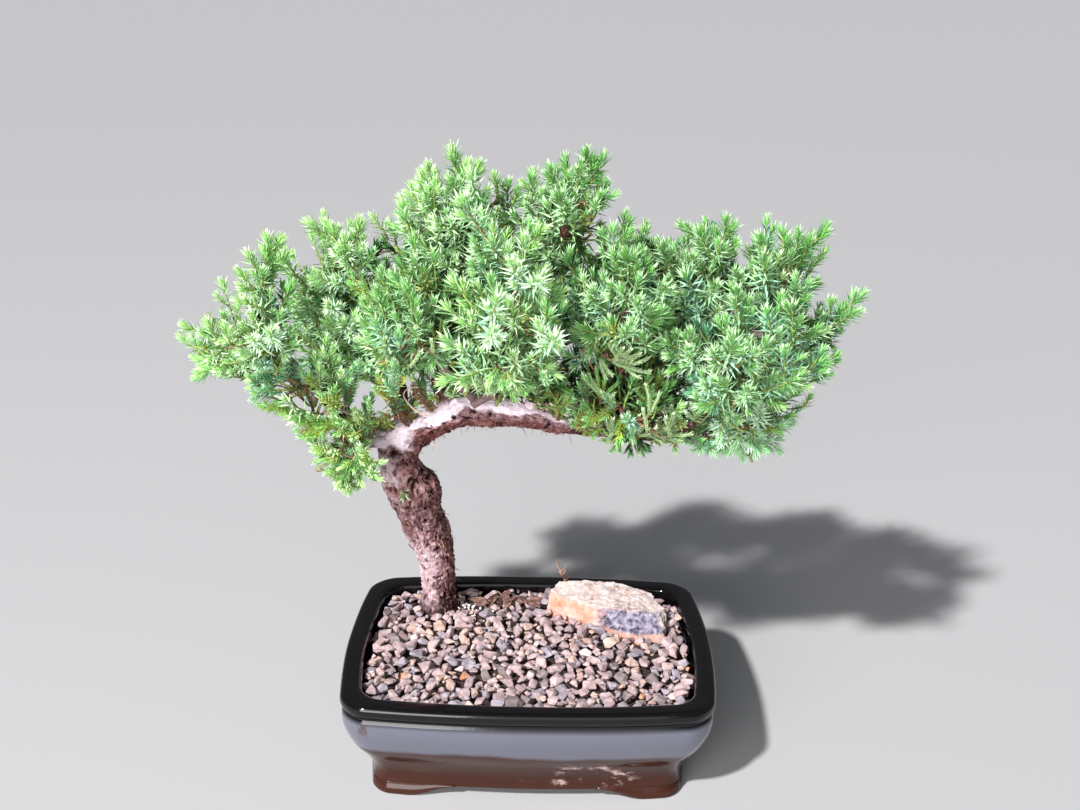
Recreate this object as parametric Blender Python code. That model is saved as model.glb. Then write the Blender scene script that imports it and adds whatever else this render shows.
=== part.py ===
"""Juniper bonsai in a glazed pot: trunk, limbs, foliage masses, gravel bed, accent stone, pot.

Units are metres, +Z up. The origin is on the surface that the pot stands on, under the
middle of the whole tree's box. Sizes below are in millimetres, measured from the middle
of the pot, and MM turns them into metres.
"""
import bpy
import bmesh
import math
import numpy as np
from mathutils import Vector

MM = 0.001
GAP = 0.3                      # clearance between neighbouring pieces

# ------------------------------------------------------------------ driving dimensions
SHIFT = Vector((8.0, -19.3, 0.0))  # from the middle of the pot to the middle of the tree's box

POT_W, POT_D, POT_H = 203.0, 144.7, 67.2   # rim, corner to corner, and its height
POT_BOW = 5.9                  # how far each side bows out in its middle
POT_R = 14.0                   # plan radius of the rim's corners
BASE_Z = 8.4                   # underside of the pot above the ground
FLOOR_Z = 15.0                 # inside floor
BED_Z = 60.0                   # top of the gravel
CUT_Z = BED_Z + GAP            # flat cut under trunk and stone

FOOT_OUT, FOOT_IN = 14.6, 26.0     # plan offsets of a foot's outer and inner wall
FOOT_LONG, FOOT_SIDE = 46.0, 38.0  # reach of a foot along the long and the short side
FOOT_FLAT = 0.42               # share of that reach that stands flat

# outside and inside of the pot: (offset in from the rim outline, height)
POT_PROFILE = (
    (15.4, BASE_Z), (15.8, 11.0), (15.0, 17.0), (11.6, 25.0), (5.2, 36.0), (1.4, 47.0),
    (0.8, 55.5), (1.9, 58.8), (0.3, 61.5), (0.2, 65.0), (1.6, 66.9), (5.0, 67.2),
    (9.6, 66.7), (11.2, 64.5), (11.6, 59.0), (12.6, 38.0), (22.5, FLOOR_Z))
BED_PROFILE = ((23.0, FLOOR_Z + GAP), (13.1, 38.0), (12.1, 58.5), (13.0, BED_Z))

# trunk and main limb in one line: x, y, z, radius
STEM = (
    (-57.0, 46.5, 50.0, 13.6), (-57.2, 46.0, 61.0, 12.6), (-57.4, 45.3, 70.0, 10.6),
    (-57.6, 44.6, 82.0, 10.0), (-59.2, 43.2, 101.0, 11.2), (-63.4, 42.0, 116.0, 12.6),
    (-68.6, 40.2, 134.0, 13.8), (-73.2, 38.0, 147.0, 14.6), (-77.6, 35.8, 158.0, 12.6),
    (-79.4, 33.2, 169.0, 11.6), (-76.8, 30.6, 180.2, 12.4), (-68.0, 28.4, 187.0, 10.4),
    (-57.0, 26.4, 193.0, 8.4), (-45.7, 25.0, 198.4, 8.4), (-35.8, 24.0, 201.4, 8.9),
    (-18.0, 21.0, 203.2, 8.3), (-6.0, 18.0, 202.4, 7.0), (4.0, 16.0, 200.6, 6.0),
    (13.0, 14.0, 199.2, 5.6), (22.0, 12.4, 198.0, 4.8))
FORK = Vector((-58.5, 26.7, 192.2))     # where the trunk ends and the main limb starts
FORK_DIR = Vector((0.87, -0.13, 0.47))
KNOB = (Vector((-60.0, 38.0, 149.5)), 3.6, 8.0)   # swelling on the trunk: place, rise, spread

# boughs: name, parent, stations x, y, z, radius
BOUGHS = (
    ("bough_left", "trunk",
     ((-82, 30, 183, 6.0), (-95, 25, 192, 5.2), (-108, 17, 203, 4.4), (-116, 9, 214, 3.6),
      (-122, 2, 226, 3.0))),
    ("bough_left_low", "trunk",
     ((-82, 28, 180, 5.0), (-91, 18, 184, 4.2), (-98, 11, 186, 3.6), (-104, 5, 187, 3.0))),
    ("bough_inner_left", "trunk",
     ((-77, 30, 184, 5.6), (-81, 30, 198, 4.6), (-84, 31, 210, 3.8), (-84, 31, 226, 3.2))),
    ("bough_back_left", "trunk",
     ((-78, 33, 183, 5.6), (-88, 46, 194, 4.8), (-101, 58, 206, 4.0), (-112, 66, 220, 3.2))),
    ("bough_apex_left", "limb_right",
     ((-47, 25, 198, 5.6), (-52, 25, 212, 4.8), (-54, 24, 230, 4.2), (-51, 22, 250, 3.6),
      (-49, 22, 275, 3.0), (-48, 22, 300, 2.6))),
    ("bough_front", "limb_right",
     ((-33, 23, 201, 5.0), (-33, 8, 212, 4.2), (-32, -8, 222, 3.6), (-28, -22, 236, 3.0))),
    ("bough_back_mid", "limb_right",
     ((-38, 25, 201, 5.0), (-38, 38, 210, 4.4), (-38, 54, 222, 3.6), (-39, 70, 236, 3.0))),
    ("bough_apex_mid", "limb_right",
     ((-2, 17, 202, 4.6), (0, 18, 215, 4.0), (4, 19, 240, 3.4), (12, 20, 270, 3.0),
      (18, 20, 300, 2.6))),
    ("bough_back_right", "limb_right",
     ((10, 15, 199, 4.2), (18, 28, 206, 3.6), (30, 44, 216, 3.0), (46, 62, 230, 2.6))),
    ("bough_right_top", "limb_right",
     ((18, 13, 198.6, 4.2), (32, 13, 204, 3.8), (50, 15, 216, 3.4), (70, 17, 238, 3.0),
      (86, 18, 262, 2.6))),
    ("bough_right_low", "limb_right",
     ((18, 12.6, 198.2, 4.0), (32, 10.4, 196.0, 3.0), (50, 8.4, 195.0, 2.4),
      (70, 6, 194.4, 2.2), (88, 4, 194.4, 2.1), (104, 3, 196, 2.0), (118, 3, 204, 1.9))),
    ("bough_right_front", "bough_right_low",
     ((66, 6.4, 194.6, 1.9), (76, -4, 201, 1.8), (88, -14, 212, 1.7), (100, -24, 230, 1.6))),
)

# foliage masses: name, centre, half sizes, tips that the outline reaches
MASSES = (
    ("far_left", (-172, 12, 241), (21, 23, 18), ((-196, 12, 253), (-188, 8, 224))),
    ("left_front", (-142, -15, 264), (24, 34, 30), ((-140, -15, 309), (-160, -18, 292))),
    ("left_top", (-114, 27, 280), (32, 36, 33), ((-124, 25, 312), (-92, 26, 311))),
    ("left_mid", (-122, -2, 226), (33, 32, 24), ((-147, -8, 208),)),
    ("left_low", (-105, 3, 184), (19, 25, 27), ((-97, 4, 158), (-120, 0, 168))),
    ("inner_left", (-84, 28, 252), (30, 40, 45), ()),
    ("apex_left", (-45, 16, 314), (31, 44, 36), ((-45, 22, 353), (-66, 20, 336), (-28, 22, 344))),
    ("front_left", (-60, -34, 274), (33, 40, 38), ((-66, -62, 300),)),
    ("front_mid", (-10, -44, 274), (34, 42, 42), ((-4, -80, 286), (-12, -24, 322))),
    ("centre_low", (-10, -4, 234), (42, 38, 19), ()),
    ("apex_mid", (19, 16, 315), (33, 44, 35), ((33, 20, 353), (12, 18, 345), (47, 26, 326))),
    ("centre_right", (46, -10, 274), (35, 44, 40), ((58, -46, 300),)),
    ("low_right_tufts", (54, -12, 223), (36, 38, 23), ((48, -18, 198), (70, -14, 200))),
    ("right_inner", (91, 20, 282), (32, 40, 34), ((95, 18, 317), (78, 20, 309))),
    ("right_top", (130, 12, 285), (29, 38, 31), ((156, 10, 315), (128, 14, 315), (110, 16, 313))),
    ("right_front", (108, -34, 254), (38, 38, 31), ((112, -72, 268),)),
    ("right_low", (117, 4, 207), (33, 38, 25), ((131, 2, 183), (150, 4, 208))),
    ("far_right", (161, 4, 262), (17, 24, 19), ((179, 6, 280), (172, 0, 262))),
    ("back_left", (-116, 72, 240), (42, 36, 38), ((-150, 92, 256), (-116, 104, 250))),
    ("back_mid", (-38, 80, 264), (50, 38, 48), ((-38, 114, 290), (-60, 96, 306))),
    ("back_right", (52, 76, 258), (50, 38, 46), ((50, 110, 280), (66, 92, 300))),
    ("back_far_right", (128, 64, 242), (40, 36, 38), ((160, 88, 250), (128, 98, 262))),
)
LOBES = 13                     # bumps on each mass
LOBE_RISE = (0.14, 0.40)       # their height as a share of the radius

# accent stone: lower and upper outline, x, y, z
STONE_LOW = ((10, 47), (18.5, 39.5), (42, 25), (66, 12.6), (82, 15), (85, 27), (77, 44),
             (57, 51), (34, 54), (14, 56))
STONE_TOP = ((12.5, 48, 72), (21, 40.5, 73), (44, 28, 74), (62, 24, 73), (79, 25, 71),
             (82, 30, 72), (74, 43, 75), (57, 49, 78), (36, 51, 78.5), (17, 53, 76.5))


# ------------------------------------------------------------------ scene helpers
for old in list(bpy.data.objects):
    bpy.data.objects.remove(old, do_unlink=True)

parts = bpy.data.collections.new("juniper_bonsai")
guides = bpy.data.collections.new("juniper_bonsai_cutters")
bpy.context.scene.collection.children.link(parts)
bpy.context.scene.collection.children.link(guides)


def material(name, color, rough, metal=0.0, coat=0.0):
    m = bpy.data.materials.new(name)
    m.use_nodes = True
    b = m.node_tree.nodes["Principled BSDF"]
    b.inputs["Base Color"].default_value = (*color, 1.0)
    b.inputs["Roughness"].default_value = rough
    b.inputs["Metallic"].default_value = metal
    b.inputs["Coat Weight"].default_value = coat
    m.diffuse_color = (*color, 1.0)
    return m


GLAZE = material("black_glaze", (0.012, 0.011, 0.013), 0.12, coat=0.6)
GRAVEL = material("crushed_gravel", (0.31, 0.24, 0.24), 0.9)
STONE = material("accent_stone", (0.75, 0.6, 0.5), 0.8)
BARK = material("shaggy_bark", (0.24, 0.14, 0.14), 0.85)
LIMB_BARK = material("limb_bark", (0.42, 0.32, 0.31), 0.75)
NEEDLES = (material("needles_fresh", (0.22, 0.42, 0.16), 0.6),
           material("needles_green", (0.13, 0.32, 0.13), 0.6),
           material("needles_blue", (0.16, 0.36, 0.22), 0.6),
           material("needles_olive", (0.27, 0.31, 0.10), 0.6))


def place(p):
    return (Vector(p) + SHIFT) * MM


def to_object(bm, name, mat, coll=parts, smooth=None):
    bmesh.ops.recalc_face_normals(bm, faces=bm.faces[:])
    me = bpy.data.meshes.new(name)
    bm.to_mesh(me)
    bm.free()
    ob = bpy.data.objects.new(name, me)
    coll.objects.link(ob)
    me.materials.append(mat)
    if smooth is not None:
        me.shade_smooth()
        me.set_sharp_from_angle(angle=math.radians(smooth))
    return ob


def loft(bm, rings, closed=False):
    """Join rings of equal count with quads; cap the first and last unless closed."""
    rows = [[bm.verts.new(place(p)) for p in ring] for ring in rings]
    pairs = list(zip(rows, rows[1:])) + ([(rows[-1], rows[0])] if closed else [])
    n = len(rows[0])
    for a, b in pairs:
        for i in range(n):
            j = (i + 1) % n
            bm.faces.new((a[i], a[j], b[j], b[i]))
    if not closed:
        bm.faces.new(tuple(reversed(rows[0])))
        bm.faces.new(tuple(rows[-1]))


# ------------------------------------------------------------------ pot
def bow(x, y, hw, hd):
    """Push a point of the plan outline outwards, most in the middle of each side."""
    u, v = x / hw, y / hd
    return (x + math.copysign(POT_BOW, x) * (1 - v * v) * u ** 4,
            y + math.copysign(POT_BOW, y) * (1 - u * u) * v ** 4)


def plan(off, z, arc=4, long_n=4, short_n=3):
    """Closed outline of the pot, set in from the rim by off, anticlockwise from above."""
    hw, hd = POT_W / 2 - off, POT_D / 2 - off
    r = max(POT_R - 0.35 * off, 6.0)
    pts = []
    for k, (sx, sy) in enumerate(((1, 1), (-1, 1), (-1, -1), (1, -1))):
        cx, cy = sx * (hw - r), sy * (hd - r)
        for i in range(arc):
            a = math.radians(90 * (k + i / (arc - 1)))
            pts.append((cx + r * math.cos(a), cy + r * math.sin(a)))
        n = long_n if k % 2 == 0 else short_n
        if k % 2 == 0:
            start, end = (sx * (hw - r), sy * hd), (-sx * (hw - r), sy * hd)
        else:
            start, end = (sx * hw, sy * (hd - r)), (sx * hw, -sy * (hd - r))
        for i in range(1, n):
            t = i / n
            pts.append((start[0] + (end[0] - start[0]) * t, start[1] + (end[1] - start[1]) * t))
    return [(*bow(x, y, hw, hd), z) for x, y in pts]


bm = bmesh.new()
loft(bm, [plan(off, z) for off, z in POT_PROFILE])
to_object(bm, "pot", GLAZE, smooth=40)

bm = bmesh.new()
loft(bm, [plan(off, z) for off, z in BED_PROFILE])
to_object(bm, "gravel_bed", GRAVEL)


def foot_rail(off, s):
    """Point of the corner's outline at s: -1 along the short side, 0 corner, 1 long side."""
    hw, hd = POT_W / 2 - off, POT_D / 2 - off
    r = max(POT_R - 0.35 * off, 4.0)
    edge = 0.22                # the arc takes this share of each arm
    if s <= -edge:
        t = (-s - edge) / (1 - edge)
        x, y = hw, hd - r - t * (FOOT_SIDE - r)
    elif s >= edge:
        t = (s - edge) / (1 - edge)
        x, y = hw - r - t * (FOOT_LONG - r), hd
    else:
        a = math.radians(45 + 45 * s / edge)
        x, y = hw - r + r * math.cos(a), hd - r + r * math.sin(a)
    return bow(x, y, hw, hd)


def foot_sole(s):
    """Height of the foot's underside: flat round the corner, then a smooth rise."""
    t = min(max((abs(s) - FOOT_FLAT) / (1 - FOOT_FLAT), 0.0), 1.0)
    return (BASE_Z - GAP - 0.6) * (0.5 - 0.5 * math.cos(math.pi * t))


for name, sx, sy in (("foot_front_left", -1, -1), ("foot_front_right", 1, -1),
                     ("foot_back_left", -1, 1), ("foot_back_right", 1, 1)):
    stations = [-1, -0.85, -0.7, -0.56, -FOOT_FLAT, -0.22, 0, 0.22, FOOT_FLAT, 0.56, 0.7,
                0.85, 1]
    rings = []
    for s in stations:
        top, low = BASE_Z - GAP, foot_sole(s)
        (xt, yt), (xb, yb), (xi, yi) = (foot_rail(FOOT_OUT + 1.0, s), foot_rail(FOOT_OUT, s),
                                        foot_rail(FOOT_IN, s))
        rings.append([(sx * xt, sy * yt, top), (sx * xb, sy * yb, low),
                      (sx * xi, sy * yi, low), (sx * xi, sy * yi, top)])
    bm = bmesh.new()
    loft(bm, rings)
    to_object(bm, name, GLAZE, smooth=40)

# ------------------------------------------------------------------ accent stone
bm = bmesh.new()
low = [(x, y, CUT_Z) for x, y in STONE_LOW]
mid = [(0.5 * (a[0] + b[0]) * 1.0, 0.5 * (a[1] + b[1]), 0.5 * (CUT_Z + b[2]))
       for a, b in zip(STONE_LOW, STONE_TOP)]
loft(bm, [low, mid, list(STONE_TOP)])
bmesh.ops.triangulate(bm, faces=bm.faces[:])
to_object(bm, "accent_stone", STONE)


# ------------------------------------------------------------------ limbs
def smooth_path(stations, step):
    """Points at about every step along a smooth curve through the stations."""
    P = [np.array(s, float) for s in stations]
    P = [2 * P[0] - P[1]] + P + [2 * P[-1] - P[-2]]
    out = []
    for i in range(1, len(P) - 2):
        a, b, c, d = P[i - 1:i + 3]
        n = max(1, round(float(np.linalg.norm(c[:3] - b[:3])) / step))
        for k in range(n):
            t = k / n
            out.append(0.5 * (2 * b + (c - a) * t + (2 * a - 5 * b + 4 * c - d) * t * t
                              + (3 * b - a - 3 * c + d) * t ** 3))
    out.append(P[-2])
    return out


def tube(name, path, mat, grow=0.0, res=2, coll=parts):
    """A tapering limb: a bevelled curve, made into a mesh and welded."""
    cu = bpy.data.curves.new(name, "CURVE")
    cu.dimensions = "3D"
    cu.bevel_depth = MM
    cu.bevel_resolution = res
    cu.use_fill_caps = True
    sp = cu.splines.new("POLY")
    sp.points.add(len(path) - 1)
    for p, q in zip(sp.points, path):
        p.co = (*place(q[:3]), 1.0)
        p.radius = float(q[3]) + grow
    tmp = bpy.data.objects.new(name + "_curve", cu)
    coll.objects.link(tmp)
    dg = bpy.context.evaluated_depsgraph_get()
    me = bpy.data.meshes.new_from_object(tmp.evaluated_get(dg))
    me.name = name
    bm = bmesh.new()
    bm.from_mesh(me)
    bmesh.ops.remove_doubles(bm, verts=bm.verts[:], dist=1e-6)
    bpy.data.objects.remove(tmp, do_unlink=True)
    bpy.data.curves.remove(cu)
    bpy.data.meshes.remove(me)
    return bm


def swell(bm, centre, rise, spread):
    c = place(centre)
    axis = place(STEM[7][:3])
    for v in bm.verts:
        k = math.exp(-((v.co - c).length / (spread * MM)) ** 2)
        out = v.co - axis
        out.z = 0
        if out.length > 0:
            v.co += out.normalized() * rise * MM * k


def cut_flat(bm, point, normal):
    """Keep what lies behind the plane, and close the cut."""
    res = bmesh.ops.bisect_plane(bm, geom=bm.verts[:] + bm.edges[:] + bm.faces[:],
                                 plane_co=place(point), plane_no=normal, clear_outer=True)
    edges = [e for e in bm.edges if e.is_boundary]
    bmesh.ops.edgeloop_fill(bm, edges=edges)


stem = smooth_path(STEM, 7.0)
fork_dir = FORK_DIR.normalized()


def trunk_mesh(grow=0.0):
    bm = tube("trunk", stem, BARK, grow, res=3)
    swell(bm, *KNOB)
    cut_flat(bm, FORK - fork_dir * (GAP / 2 - grow), fork_dir)
    if grow == 0.0:
        cut_flat(bm, Vector((0, 0, CUT_Z)), Vector((0, 0, -1)))
    return bm


def limb_mesh(grow=0.0):
    bm = tube("limb_right", stem, LIMB_BARK, grow, res=3)
    cut_flat(bm, FORK + fork_dir * (GAP / 2 - grow), -fork_dir)
    return bm


def cutter(bm, name):
    ob = to_object(bm, name, BARK, coll=guides)
    ob.hide_render = True
    ob.display_type = "WIRE"
    return ob


def volume(me):
    bm = bmesh.new()
    bm.from_mesh(me)
    v = bm.calc_volume(signed=True)
    bm.free()
    return v


def carve(ob, *cutters):
    """Cut the object by each cutter, exactly, and keep one body."""
    for c in cutters:
        m = ob.modifiers.new("cut", "BOOLEAN")
        m.operation = "DIFFERENCE"
        m.solver = "EXACT"
        m.object = c
        bpy.context.view_layer.update()
        dg = bpy.context.evaluated_depsgraph_get()
        me = bpy.data.meshes.new_from_object(ob.evaluated_get(dg))
        if not 0.0 < volume(me) <= volume(ob.data) * 1.0001:   # the exact cut went wrong
            m.solver = "MANIFOLD"
            bpy.context.view_layer.update()
            dg = bpy.context.evaluated_depsgraph_get()
            bpy.data.meshes.remove(me)
            me = bpy.data.meshes.new_from_object(ob.evaluated_get(dg))
        ob.modifiers.remove(m)
        old = ob.data
        ob.data = me
        bpy.data.meshes.remove(old)


def keep_nearest(ob, p):
    """Leave only the body whose nearest corner is closest to p."""
    bm = bmesh.new()
    bm.from_mesh(ob.data)
    bm.verts.ensure_lookup_table()
    seen, bodies = set(), []
    for v in bm.verts:
        if v.index in seen:
            continue
        stack, body = [v], []
        seen.add(v.index)
        while stack:
            w = stack.pop()
            body.append(w)
            for e in w.link_edges:
                o = e.other_vert(w)
                if o.index not in seen:
                    seen.add(o.index)
                    stack.append(o)
        bodies.append(body)
    if len(bodies) > 1:
        q = place(p)
        bodies.sort(key=lambda b: min((v.co - q).length for v in b))
        for body in bodies[1:]:
            bmesh.ops.delete(bm, geom=body, context="VERTS")
        bm.to_mesh(ob.data)
    bm.free()


# ------------------------------------------------------------------ foliage masses
class Mass:
    def __init__(self, k, name, centre, half, tips):
        self.name, self.c = name, np.array(centre, float)
        self.half = np.array(half, float)
        self.tips = [np.array(t, float) for t in tips]
        rng = np.random.default_rng(400 + k)
        d = rng.normal(size=(LOBES, 3))
        d[:, 2] += 0.35
        self.lobes = d / np.linalg.norm(d, axis=1)[:, None]
        self.rise = rng.uniform(*LOBE_RISE, size=LOBES)
        self.walls = []        # planes (normal, distance) that the mass stays behind

    def base(self, d):
        return 1.0 / math.sqrt(float(((d / self.half) ** 2).sum()))

    def radius(self, d):
        r = self.base(d)
        bump = 0.0
        for lobe, rise in zip(self.lobes, self.rise):
            bump = max(bump, rise * math.exp(-(math.acos(max(-1, min(1, float(lobe @ d))))
                                               / 0.31) ** 2))
        r *= 0.86 + bump
        for t in self.tips:
            v = t - self.c
            L = float(np.linalg.norm(v))
            ang = math.acos(max(-1, min(1, float(v @ d) / L)))
            r += max(0.0, L - r) * math.exp(-(ang / 0.30) ** 2)
        return self.clip(d, r)

    def clip(self, d, r, slack=0.0):
        for n, h in self.walls:
            c = float(n @ d)
            if c > 1e-6:
                r = min(r, max(h + slack, 2.0) / c)
        return r


masses = [Mass(k, *row) for k, row in enumerate(MASSES)]
for i, a in enumerate(masses):
    for j, b in enumerate(masses):
        if i != j:
            v = b.c - a.c
            L = float(np.linalg.norm(v))
            n = v / L
            ra, rb = a.base(n), b.base(-n)
            a.walls.append((n, L * ra / (ra + rb) - 0.25))

# the masses stand clear of the trunk, the main limb and the long low bough
low_path = smooth_path(BOUGHS[10][2], 11.0)
for path, skip in ((stem, ()), (low_path, ("right_low",))):
    for p, q in zip(path, path[1:]):
        for m in masses:
            if m.name in skip:
                continue
            ab = q[:3] - p[:3]
            t = min(max(float((m.c - p[:3]) @ ab) / float(ab @ ab), 0.0), 1.0)
            v = p[:3] + ab * t - m.c
            L = float(np.linalg.norm(v))
            r = max(p[3], q[3]) + (4.0 if path is stem and p[2] < 165 else 0.7)
            m.walls.append((v / L, L - r))

tint = {"far_left": 0, "left_front": 0, "left_top": 0, "front_mid": 0, "front_left": 0,
        "left_low": 0, "centre_low": 3, "low_right_tufts": 3, "inner_left": 3,
        "right_front": 2, "right_low": 2, "far_right": 2}


def mass_mesh(m, grow=0.0):
    bm = bmesh.new()
    bmesh.ops.create_icosphere(bm, subdivisions=3, radius=1.0)
    for v in bm.verts:
        d = np.array(v.co.normalized())
        v.co = place(m.c + d * (m.radius(d) + grow))
    return bm


for m in masses:
    to_object(mass_mesh(m), "mass_" + m.name, NEEDLES[tint.get(m.name, 1)], smooth=60)

# ------------------------------------------------------------------ trunk, limb and boughs
to_object(trunk_mesh(), "trunk", BARK, smooth=50)
to_object(limb_mesh(), "limb_right", LIMB_BARK, smooth=50)
parent_cut = {"trunk": cutter(trunk_mesh(GAP + 0.1), "cut_trunk"),
              "limb_right": cutter(limb_mesh(GAP + 0.1), "cut_limb_right")}
mass_cut = {}


def inside(m, p, slack):
    v = np.array(p, float) - m.c
    L = float(np.linalg.norm(v))
    return L < m.radius(v / L) + slack


made = []
for name, parent, stations in BOUGHS:
    path = smooth_path(stations, 11.0)
    # the bough stops a little way inside the first mass that it enters
    end = len(path)
    for k, q in enumerate(path):
        if any(inside(m, q[:3], -q[3]) for m in masses):
            end = min(len(path), k + 2)
            break
    path = path[:max(end, 2)]
    bm = tube(name, path, LIMB_BARK, res=2)
    ob = to_object(bm, name, LIMB_BARK, smooth=50)
    if name == "bough_right_low":
        parent_cut[name] = cutter(tube("low", path, BARK, GAP + 0.1, res=2), "cut_" + name)
    touching = [m for m in masses
                if any(inside(m, q[:3], q[3] + 2.0) for q in path)]
    for m in touching:
        if m.name not in mass_cut:
            mass_cut[m.name] = cutter(mass_mesh(m, GAP + 0.2), "cut_" + m.name)
    others = [parent_cut[parent]]
    others += [parent_cut[k] for k in ("trunk", "limb_right") if k != parent]
    carve(ob, *others, *[mass_cut[m.name] for m in touching])
    # boughs that leave the same spot stay apart
    near = []
    for other, opath in made:
        if any(np.linalg.norm(a[:3] - b[:3]) < a[3] + b[3] + 1.0 for a in path for b in opath):
            near.append(cutter(tube("n", opath, BARK, GAP + 0.1, res=2),
                               "cut_%s_%s" % (other, name)))
    carve(ob, *near)
    keep_nearest(ob, path[1][:3])
    made.append((name, path))
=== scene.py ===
"""Looks of the juniper bonsai: bark with relief, needle sprays, glazed pot, gravel, accent stone.

Sizes are in millimetres from the middle of the pot unless a name says otherwise, and
to_world() turns them into the frame's metres.
"""
import bpy
import bmesh
import math
import time
import numpy as np
from mathutils import Vector, Matrix
from mathutils.bvhtree import BVHTree


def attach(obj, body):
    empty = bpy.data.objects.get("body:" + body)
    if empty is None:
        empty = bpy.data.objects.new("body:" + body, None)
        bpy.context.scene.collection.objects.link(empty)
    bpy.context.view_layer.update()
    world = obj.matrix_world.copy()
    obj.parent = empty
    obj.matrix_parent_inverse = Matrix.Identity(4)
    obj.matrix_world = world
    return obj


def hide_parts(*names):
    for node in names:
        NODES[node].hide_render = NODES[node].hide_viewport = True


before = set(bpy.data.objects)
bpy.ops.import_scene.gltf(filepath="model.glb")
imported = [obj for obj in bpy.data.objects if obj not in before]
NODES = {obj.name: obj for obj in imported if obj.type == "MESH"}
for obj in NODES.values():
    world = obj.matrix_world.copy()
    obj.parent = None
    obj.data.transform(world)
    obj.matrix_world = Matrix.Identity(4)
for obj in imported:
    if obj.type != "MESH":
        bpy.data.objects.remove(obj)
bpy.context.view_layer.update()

T0 = time.time()
MM = 0.001
SHIFT = np.array([8.0, -19.3, 0.0])      # middle of the pot to the origin, as in the frame
COLL = bpy.context.scene.collection


def stamp(what):
    print("%6.1f s  %s" % (time.time() - T0, what))


def to_world(p):
    """Millimetres from the middle of the pot to metres in the frame."""
    return (np.asarray(p, float)[..., :3] + SHIFT) * MM


def lin(r, g, b):
    """An sRGB colour in 0..255 as linear values."""
    out = []
    for c in (r, g, b):
        c /= 255.0
        out.append(c / 12.92 if c <= 0.04045 else ((c + 0.055) / 1.055) ** 2.4)
    return tuple(out)


# ================================================================== mesh helpers
def make_mesh(name, verts, faces, mats, index=None, smooth=False):
    """An object from arrays: verts in metres, faces all of one count."""
    verts = np.asarray(verts, np.float32)
    faces = np.asarray(faces, np.int32)
    me = bpy.data.meshes.new(name)
    me.vertices.add(len(verts))
    me.vertices.foreach_set("co", verts.ravel())
    n, k = faces.shape
    me.loops.add(n * k)
    me.loops.foreach_set("vertex_index", faces.ravel())
    me.polygons.add(n)
    me.polygons.foreach_set("loop_start", np.arange(0, n * k, k, dtype=np.int32))
    for m in mats:
        me.materials.append(m)
    if index is not None:
        me.polygons.foreach_set("material_index", np.asarray(index, np.int32))
    me.polygons.foreach_set("use_smooth", np.full(n, bool(smooth)))
    me.update(calc_edges=True)
    ob = bpy.data.objects.new(name, me)
    COLL.objects.link(ob)
    return ob


def join_arrays(chunks):
    """Stack (verts, faces, index) chunks into one."""
    vs, fs, ix, base = [], [], [], 0
    for v, f, i in chunks:
        vs.append(v)
        fs.append(f + base)
        ix.append(i)
        base += len(v)
    return np.concatenate(vs), np.concatenate(fs), np.concatenate(ix)


def add_attr(ob, name, values):
    a = ob.data.attributes.new(name, "FLOAT", "POINT")
    a.data.foreach_set("value", np.asarray(values, np.float32))


# ================================================================== numpy noise
def _hash(ix, iy, iz, seed):
    h = (ix.astype(np.int64) * 374761393 + iy.astype(np.int64) * 668265263
         + iz.astype(np.int64) * 2147483647 + seed * 974634777) & 0x7FFFFFFF
    h = ((h ^ (h >> 13)) * 1274126177) & 0x7FFFFFFF
    h = (h ^ (h >> 16)) & 0x7FFFFFFF
    return h


def _rand(ix, iy, iz, seed):
    return (_hash(ix, iy, iz, seed) % 1000003) / 1000003.0


def vnoise(p, seed=0):
    """Smooth value noise in -1..1 at points p (n, 3)."""
    i = np.floor(p).astype(np.int64)
    f = p - i
    u = f * f * f * (f * (f * 6 - 15) + 10)
    out = 0.0
    for dx in (0, 1):
        for dy in (0, 1):
            for dz in (0, 1):
                w = ((u[:, 0] if dx else 1 - u[:, 0]) * (u[:, 1] if dy else 1 - u[:, 1])
                     * (u[:, 2] if dz else 1 - u[:, 2]))
                out = out + w * _rand(i[:, 0] + dx, i[:, 1] + dy, i[:, 2] + dz, seed)
    return out * 2 - 1


def fbm(p, octaves=4, seed=0, gain=0.5):
    out, a, tot = 0.0, 1.0, 0.0
    for o in range(octaves):
        out = out + a * vnoise(p * (2.03 ** o) + 17.3 * o, seed + o)
        tot += a
        a *= gain
    return out / tot


def cells(p, seed=0):
    """Nearest and second nearest distance to scattered points, the cell's random number
    and the vector from the cell's point."""
    i = np.floor(p).astype(np.int64)
    f1 = np.full(len(p), 9.0)
    f2 = np.full(len(p), 9.0)
    idn = np.zeros(len(p))
    vec = np.zeros_like(p)
    for dx in (-1, 0, 1):
        for dy in (-1, 0, 1):
            for dz in (-1, 0, 1):
                cx, cy, cz = i[:, 0] + dx, i[:, 1] + dy, i[:, 2] + dz
                q = np.stack([cx + _rand(cx, cy, cz, seed), cy + _rand(cx, cy, cz, seed + 1),
                              cz + _rand(cx, cy, cz, seed + 2)], 1)
                v = p - q
                d = np.sqrt((v * v).sum(1))
                near = d < f1
                f2 = np.where(near, f1, np.minimum(f2, d))
                idn = np.where(near, _rand(cx, cy, cz, seed + 3), idn)
                vec = np.where(near[:, None], v, vec)
                f1 = np.where(near, d, f1)
    return f1, f2, idn, vec


def sstep(a, b, x):
    t = np.clip((x - a) / (b - a), 0, 1)
    return t * t * (3 - 2 * t)


def unit(v):
    v = np.asarray(v, float)
    return v / (np.linalg.norm(v, axis=-1, keepdims=True) + 1e-12)


# ================================================================== materials
def new_material(name):
    m = bpy.data.materials.new(name)
    m.use_nodes = True
    nt = m.node_tree
    b = nt.nodes["Principled BSDF"]
    return m, nt, b


def node(nt, kind, **values):
    n = nt.nodes.new(kind)
    for k, v in values.items():
        if k.startswith("_"):
            setattr(n, k[1:], v)
        else:
            n.inputs[k.replace("_", " ")].default_value = v
    return n


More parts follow.
